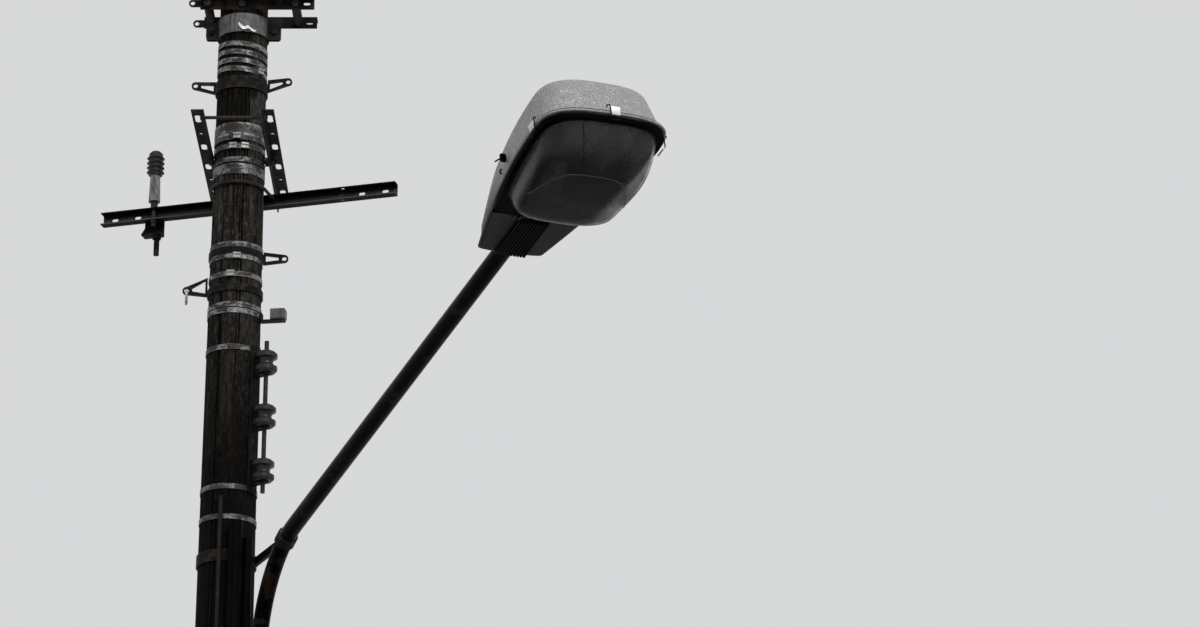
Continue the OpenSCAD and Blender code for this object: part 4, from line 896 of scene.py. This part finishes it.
def housing_rings(wall):
    """Rings up the housing from its rolled lip, drawn in by the wall"""
    rings = []
    for z, out in LIP:
        out = min(out, INNER_LIP) if wall else out
        rings.append(plan(wall - out, wall - out, LAMP_L + out - wall, BACK_ROUND, NOSE_ROUND, z))
    shares = [LIP_TOP + (SHOULDER - LIP_TOP) * i / WALL_RINGS for i in range(1, WALL_RINGS + 1)]
    shares += [SHOULDER + (1 - SHOULDER) * math.sin(math.pi / 2 * i / CROWN_RINGS)
               for i in range(1, CROWN_RINGS + 1)]
    for t in shares:
        fillet = LIP_FILLET * min(1, (t - FILLET_FROM) / FILLET_SPAN) * max(0, 1 - t / FILLET_TO)
        z = t * NOSE_H
        start = max(0, z - BACK_H) / (NOSE_H - BACK_H) * SLOPE_L
        rings.append(plan(wall + SIDE_LEAN * t + crown(t) + fillet, wall + start,
                          LAMP_L - wall - NOSE_LEAN * t - crown(t) - fillet, BACK_ROUND, NOSE_ROUND,
                          z - wall))
    for i in range(1, ROOF_RINGS + 1):
        more = ROOF_STEP * i
        rings.append(plan(wall + SIDE_LEAN + CROWN_R + more, wall + SLOPE_L + more,
                          LAMP_L - wall - NOSE_LEAN - CROWN_R - more, BACK_ROUND, NOSE_ROUND,
                          NOSE_H - wall + ROOF_RISE * i))
    return rings


def make_housing(material):
    points, faces = shell(housing_rings(0.0), housing_rings(WALL))
    grime = [unit((GRIME_TO - x) / GRIME_FADE) * unit(1.5 - z / GRIME_HEIGHT) for x, y, z in points]
    made = piece("lamp_shell", in_lamp(points), faces, material, stands_for=("lamp_housing",),
                 slot="lamp_aluminium")
    store(made, "grime", grime)


# Height, inset at the sides, at the back, at the nose, share of the corner radii
BOWL_PROFILE = ((-0.0065, 0, 0, 0, 1), (-0.014, 0.0002, 0.002, 0.002, 1), (-0.025, 0.0006, 0.006, 0.006, 1),
                (-0.038, 0.0012, 0.012, 0.015, 1), (-0.0555, 0.0020, 0.020, 0.031, 1),
                (-0.068, 0.0028, 0.027, 0.047, 0.97), (-0.080, 0.0039, 0.035, 0.067, 0.94),
                (-0.0905, 0.0055, 0.044, 0.090, 0.90), (-0.0985, 0.0085, 0.053, 0.120, 0.83),
                (-0.105, 0.0125, 0.063, 0.156, 0.74), (-0.109, 0.0185, 0.075, 0.198, 0.62),
                (-0.1110, 0.0270, 0.089, 0.236, 0.50), (-0.1118, 0.045, 0.104, 0.258, 0.36),
                (-0.1122, 0.070, 0.120, 0.275, 0.25))


def bowl_level(share):
    """The numbers of the profile at a share of the way down the bowl's wall, on a smooth curve"""
    at = share * (len(BOWL_PROFILE) - 1)
    i = min(int(at), len(BOWL_PROFILE) - 2)
    t = at - i
    before, one = BOWL_PROFILE[max(i - 1, 0)], BOWL_PROFILE[i]
    two, after = BOWL_PROFILE[i + 1], BOWL_PROFILE[min(i + 2, len(BOWL_PROFILE) - 1)]
    return [0.5 * (2 * b + (c - a) * t + (2 * a - 5 * b + 4 * c - d) * t * t
                   + (3 * b - a - 3 * c + d) * t ** 3)
            for a, b, c, d in zip(before, one, two, after)]


def bowl_rings(wall):
    """Rings down the bowl; its inside keeps the height of the edge and gains the wall below it"""
    rings = []
    for i in range(BOWL_RINGS + 1):
        z, side, back, front, corners = bowl_level(i / BOWL_RINGS)
        lift = wall * min(1, i / BOWL_FREE)
        rings.append(plan(BOWL_EDGE + wall + side, BOWL_BACK + wall + back, LAMP_L - BOWL_EDGE - wall - front,
                          BOWL_ROUND * corners, NOSE_ROUND * corners, z + lift, BOWL_STEPS))
    return rings


def bowl_bottom(x, y):
    """Height of the bowl's outside under a point of its plan, found by halving"""
    low, high = 0.0, 1.0
    for _ in range(30):
        mid = (low + high) / 2
        z, side, back, front, corners = bowl_level(mid)
        start, end = BOWL_BACK + back, LAMP_L - BOWL_EDGE - front
        width = half_w(x) - BOWL_EDGE - side
        rear, nose = BOWL_ROUND * corners, NOSE_ROUND * corners
        if x < start + rear:
            width *= max(0, 1 - min(1, (start + rear - x) / rear) ** 3) ** (1 / 3)
        if x > end - nose:
            width *= max(0, 1 - min(1, (x - end + nose) / nose) ** 3) ** (1 / 3)
        low, high = (mid, high) if abs(y) < width else (low, mid)
    return bowl_level(low)[0]


def make_bowl(material):
    points, faces = shell(bowl_rings(0.0), bowl_rings(WALL))
    # darker low in the bowl: grime and painted shade, much less on the right as painted light
    sump = [unit((GRIME_SHADE_TOP - z) / GRIME_SHADE_FADE) * (1 - LIT_SHARE * unit((y - LIT_SIDE) / LIT_FADE))
            for x, y, z in points]
    made = piece("smoky_bowl", in_lamp(points), [tuple(reversed(face)) for face in faces], material,
                 "lamp_door", ("lamp_bowl",), slot="bowl_glass")
    store(made, "sump", sump)


# A direction that no rod follows, to turn its sides from
ASKEW = Vector((0.13, 0.31, 0.94))


def tube(path, radius, sides):
    """Points and faces of a round rod along a path of points"""
    points, faces = [], []
    for i, at in enumerate(path):
        ahead = (Vector(path[min(i + 1, len(path) - 1)]) - Vector(path[max(i - 1, 0)])).normalized()
        across = ahead.cross(ASKEW).normalized()
        up = across.cross(ahead)
        for k in range(sides):
            a = math.tau * k / sides
            points.append(Vector(at) + across * radius * math.cos(a) + up * radius * math.sin(a))
    for start in range(0, (len(path) - 1) * sides, sides):
        ring = [start + k for k in range(sides)]
        faces += [(one, two, two + sides, one + sides) for one, two in zip(ring, ring[1:] + ring[:1])]
    faces += [tuple(reversed(range(sides))), tuple((len(path) - 1) * sides + k for k in range(sides))]
    return points, faces


def rods(name, paths, radius, material, body="root", sides=8):
    """Several rods in one piece"""
    points, faces = [], []
    for path in paths:
        join(points, faces, *tube(path, radius, sides))
    piece(name, points, faces, material, body)


ARCH_X, ARCH_HALF, ARCH_BEND, ARCH_R, ARCH_STEPS = 0.597, 0.158, 0.130, 0.0016, 40
BEAD_OUT, BEAD_Z, BEAD_R = 0.0012, -0.0185, 0.0010
SEAM_FROM, SEAM_RUN, SEAM_R, SEAM_STEPS = (0.740, -0.088), (-0.085, 0.030), 0.0013, 24


def make_bowl_trim(pale, dark):
    """The moulded arch on the bowl's underside, a bead round its edge, a dark seam down its front"""
    arch = []
    for i in range(-ARCH_STEPS, ARCH_STEPS + 1):
        y = ARCH_HALF * math.sin(math.pi / 2 * i / ARCH_STEPS)
        x = ARCH_X - ARCH_BEND * (abs(y) / ARCH_HALF) ** 4
        arch.append((x, y, bowl_bottom(x, y) - 0.0002))
    rods("bowl_arch", [in_lamp(arch)], ARCH_R, pale, "lamp_door")
    edge = plan(BOWL_EDGE - BEAD_OUT, BOWL_BACK - BEAD_OUT, LAMP_L - BOWL_EDGE + BEAD_OUT, BOWL_ROUND,
                NOSE_ROUND, BEAD_Z)
    rods("bowl_bead", [in_lamp(edge + edge[:1])], BEAD_R, dark, "lamp_door", 6)
    seam = []
    for i in range(SEAM_STEPS + 1):
        x, y = (start + run * i / SEAM_STEPS for start, run in zip(SEAM_FROM, SEAM_RUN))
        seam.append((x, y, bowl_bottom(x, y) - 0.0001))
    rods("bowl_seam", [in_lamp(seam)], SEAM_R, dark, "lamp_door", 6)


# Height of a block's softened edge as a share of its radius
EDGE_RISE = 0.7


def block(width, depth, height, soft):
    """Points and faces of a small block with softened edges, centred on the origin"""
    outline = []
    for corner, (sx, sy) in enumerate(((1, 1), (-1, 1), (-1, -1), (1, -1))):
        for i in range(4):
            a = math.radians(90 * corner + 30 * i)
            outline.append((sx * (width / 2 - soft) + soft * math.cos(a),
                            sy * (depth / 2 - soft) + soft * math.sin(a)))
    rings = []
    for z, shrink in ((-1, soft * EDGE_RISE), (-1, 0), (1, 0), (1, soft * EDGE_RISE)):
        lift = height / 2 - (0 if shrink else soft * EDGE_RISE)
        rings.append([(x * (1 - 2 * shrink / width), y * (1 - 2 * shrink / depth), z * lift)
                      for x, y in outline])
    return loft(rings, True, True)


def on_side(x, side, out=0.0, z=0.0):
    """Frame on the lamp's side: x towards the nose, y outwards, its origin out from the lip"""
    slope = math.atan2(half_w(x + 0.002) - half_w(x - 0.002), 0.004)
    place = Matrix.Translation((x, side * (half_w(x) + 0.003 + out), z)) @ Matrix.Rotation(slope, 4, "Z")
    return IN_LAMP @ place @ Matrix.Diagonal((1, side, 1, 1))


# Path of a latch's wire, up past the plate to its curl
CURL = ((0, 0.004, -0.019), (0, 0.0075, -0.012), (0, 0.0072, -0.002), (0, 0.007, 0.010),
        (0.001, 0.009, 0.019), (0.004, 0.010, 0.024), (0.008, 0.010, 0.024), (0.012, 0.009, 0.020),
        (0.012, 0.008, 0.014))
LATCH_X, PLATE_T, PLATE_SOFT, PLATE_LEAN, WIRE_R = 0.648, 0.0022, 0.001, -9, 0.0021
HOOK_SIZE, HOOK_SOFT, PRONG_R = (0.013, 0.020, 0.027), 0.004, 0.0026
HOOK_X, HOOK_Z, EYE_X, EYE_Z, EYE_R = 0.396, 0.062, 0.350, 0.044, 0.007
PRONG = ((0, 0.006, -0.002), (-0.002, 0.018, -0.008), (-0.004, 0.030, -0.018))


def make_latches(plate_material, wire_material):
    """Spring latches of the door: a pale plate on the lip, a wire round the frame, a curl beside it"""
    points, faces, wires = [], [], []
    nose = IN_LAMP @ Matrix.Translation((LAMP_L + 0.003, 0.003, 0)) @ turn(-90, "Z")
    # seat, width and height of the plate, how far beside it the curl is, and how high that rises
    seats = [(nose, 0.031, 0.027, 0.0018, 1.0)]
    seats += [(on_side(LATCH_X, side), 0.036, 0.022, 0.006, 0.72) for side in (-1, 1)]
    for seat, width, height, beside, rise in seats:
        more, around = block(width, PLATE_T, height, PLATE_SOFT)
        lean = seat @ Matrix.Translation((0, 0.0042, height / 2 - 0.004)) @ turn(PLATE_LEAN, "X")
        join(points, faces, [lean @ Vector(q) for q in more], around)
        wires.append([seat @ Vector((width / 2 + beside + x, y, z * (rise if z > 0 else 1)))
                      for x, y, z in CURL])
        wires.append([seat @ Vector((x, 0.002, -0.0205)) for x in (-width / 2, 0, width / 2)])
    piece("spring_clips", points, faces, plate_material, stands_for=("lamp_latches",), slot="bright_steel")
    rods("latch_wires", wires, WIRE_R, wire_material)


def make_side_hooks(material):
    """A dark hook half way up each side with a prong, and a small eye behind it"""
    points, faces, prongs = [], [], []
    for side in (-1, 1):
        seat = on_side(HOOK_X, side, -0.004, HOOK_Z)
        more, around = block(*HOOK_SIZE, HOOK_SOFT)
        join(points, faces, [seat @ Vector((x, y + 0.002, z)) for x, y, z in more], around)
        prongs.append([seat @ Vector(q) for q in PRONG])
        eye = on_side(EYE_X, side, -0.009, EYE_Z)
        prongs.append([eye @ Vector((0.002 + EYE_R * math.sin(a), 0.003, EYE_R * math.cos(a)))
                       for a in (math.radians(20 * i - 170) for i in range(10))])
    piece("side_hooks", points, faces, material)
    rods("side_prongs", prongs, PRONG_R, material)


GROOVE_OUT, GROOVE_Z, GROOVE_R = 0.0006, 0.0100, 0.0014


def make_lip_groove(material):
    """Dark rod in the crease where the housing's wall rises from its rolled lip: painted shade of that groove"""
    ring = plan(-GROOVE_OUT, -GROOVE_OUT, LAMP_L + GROOVE_OUT, BACK_ROUND, NOSE_ROUND, GROOVE_Z)
    rods("lip_groove", [in_lamp(ring + ring[:1])], GROOVE_R, material, sides=6)


# ---------------------------------------------------------------- scene
make_camera()
make_world()
make_sun("key", strength=1.8, pitch=50, heading=24, spread=25)
make_floor()
MATERIALS = make_materials()
dress_nodes(MATERIALS)
make_pole(MATERIALS["pole_wood"])
make_strap_tail(MATERIALS["clip_plate"])
make_housing(MATERIALS["lamp_aluminium"])
make_bowl(MATERIALS["bowl_glass"])
make_bowl_trim(MATERIALS["bowl_pale"], MATERIALS["dark_steel"])
make_latches(MATERIALS["clip_plate"], MATERIALS["dark_steel"])
make_side_hooks(MATERIALS["frame_black"])
make_lip_groove(MATERIALS["lamp_dark"])

bpy.context.scene.view_settings.view_transform = "Standard"
with open("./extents.json", "w") as report:
    json.dump({"cad": [list(v) for v in CAD_BOX], "visual": [list(v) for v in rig.bounds()]}, report)
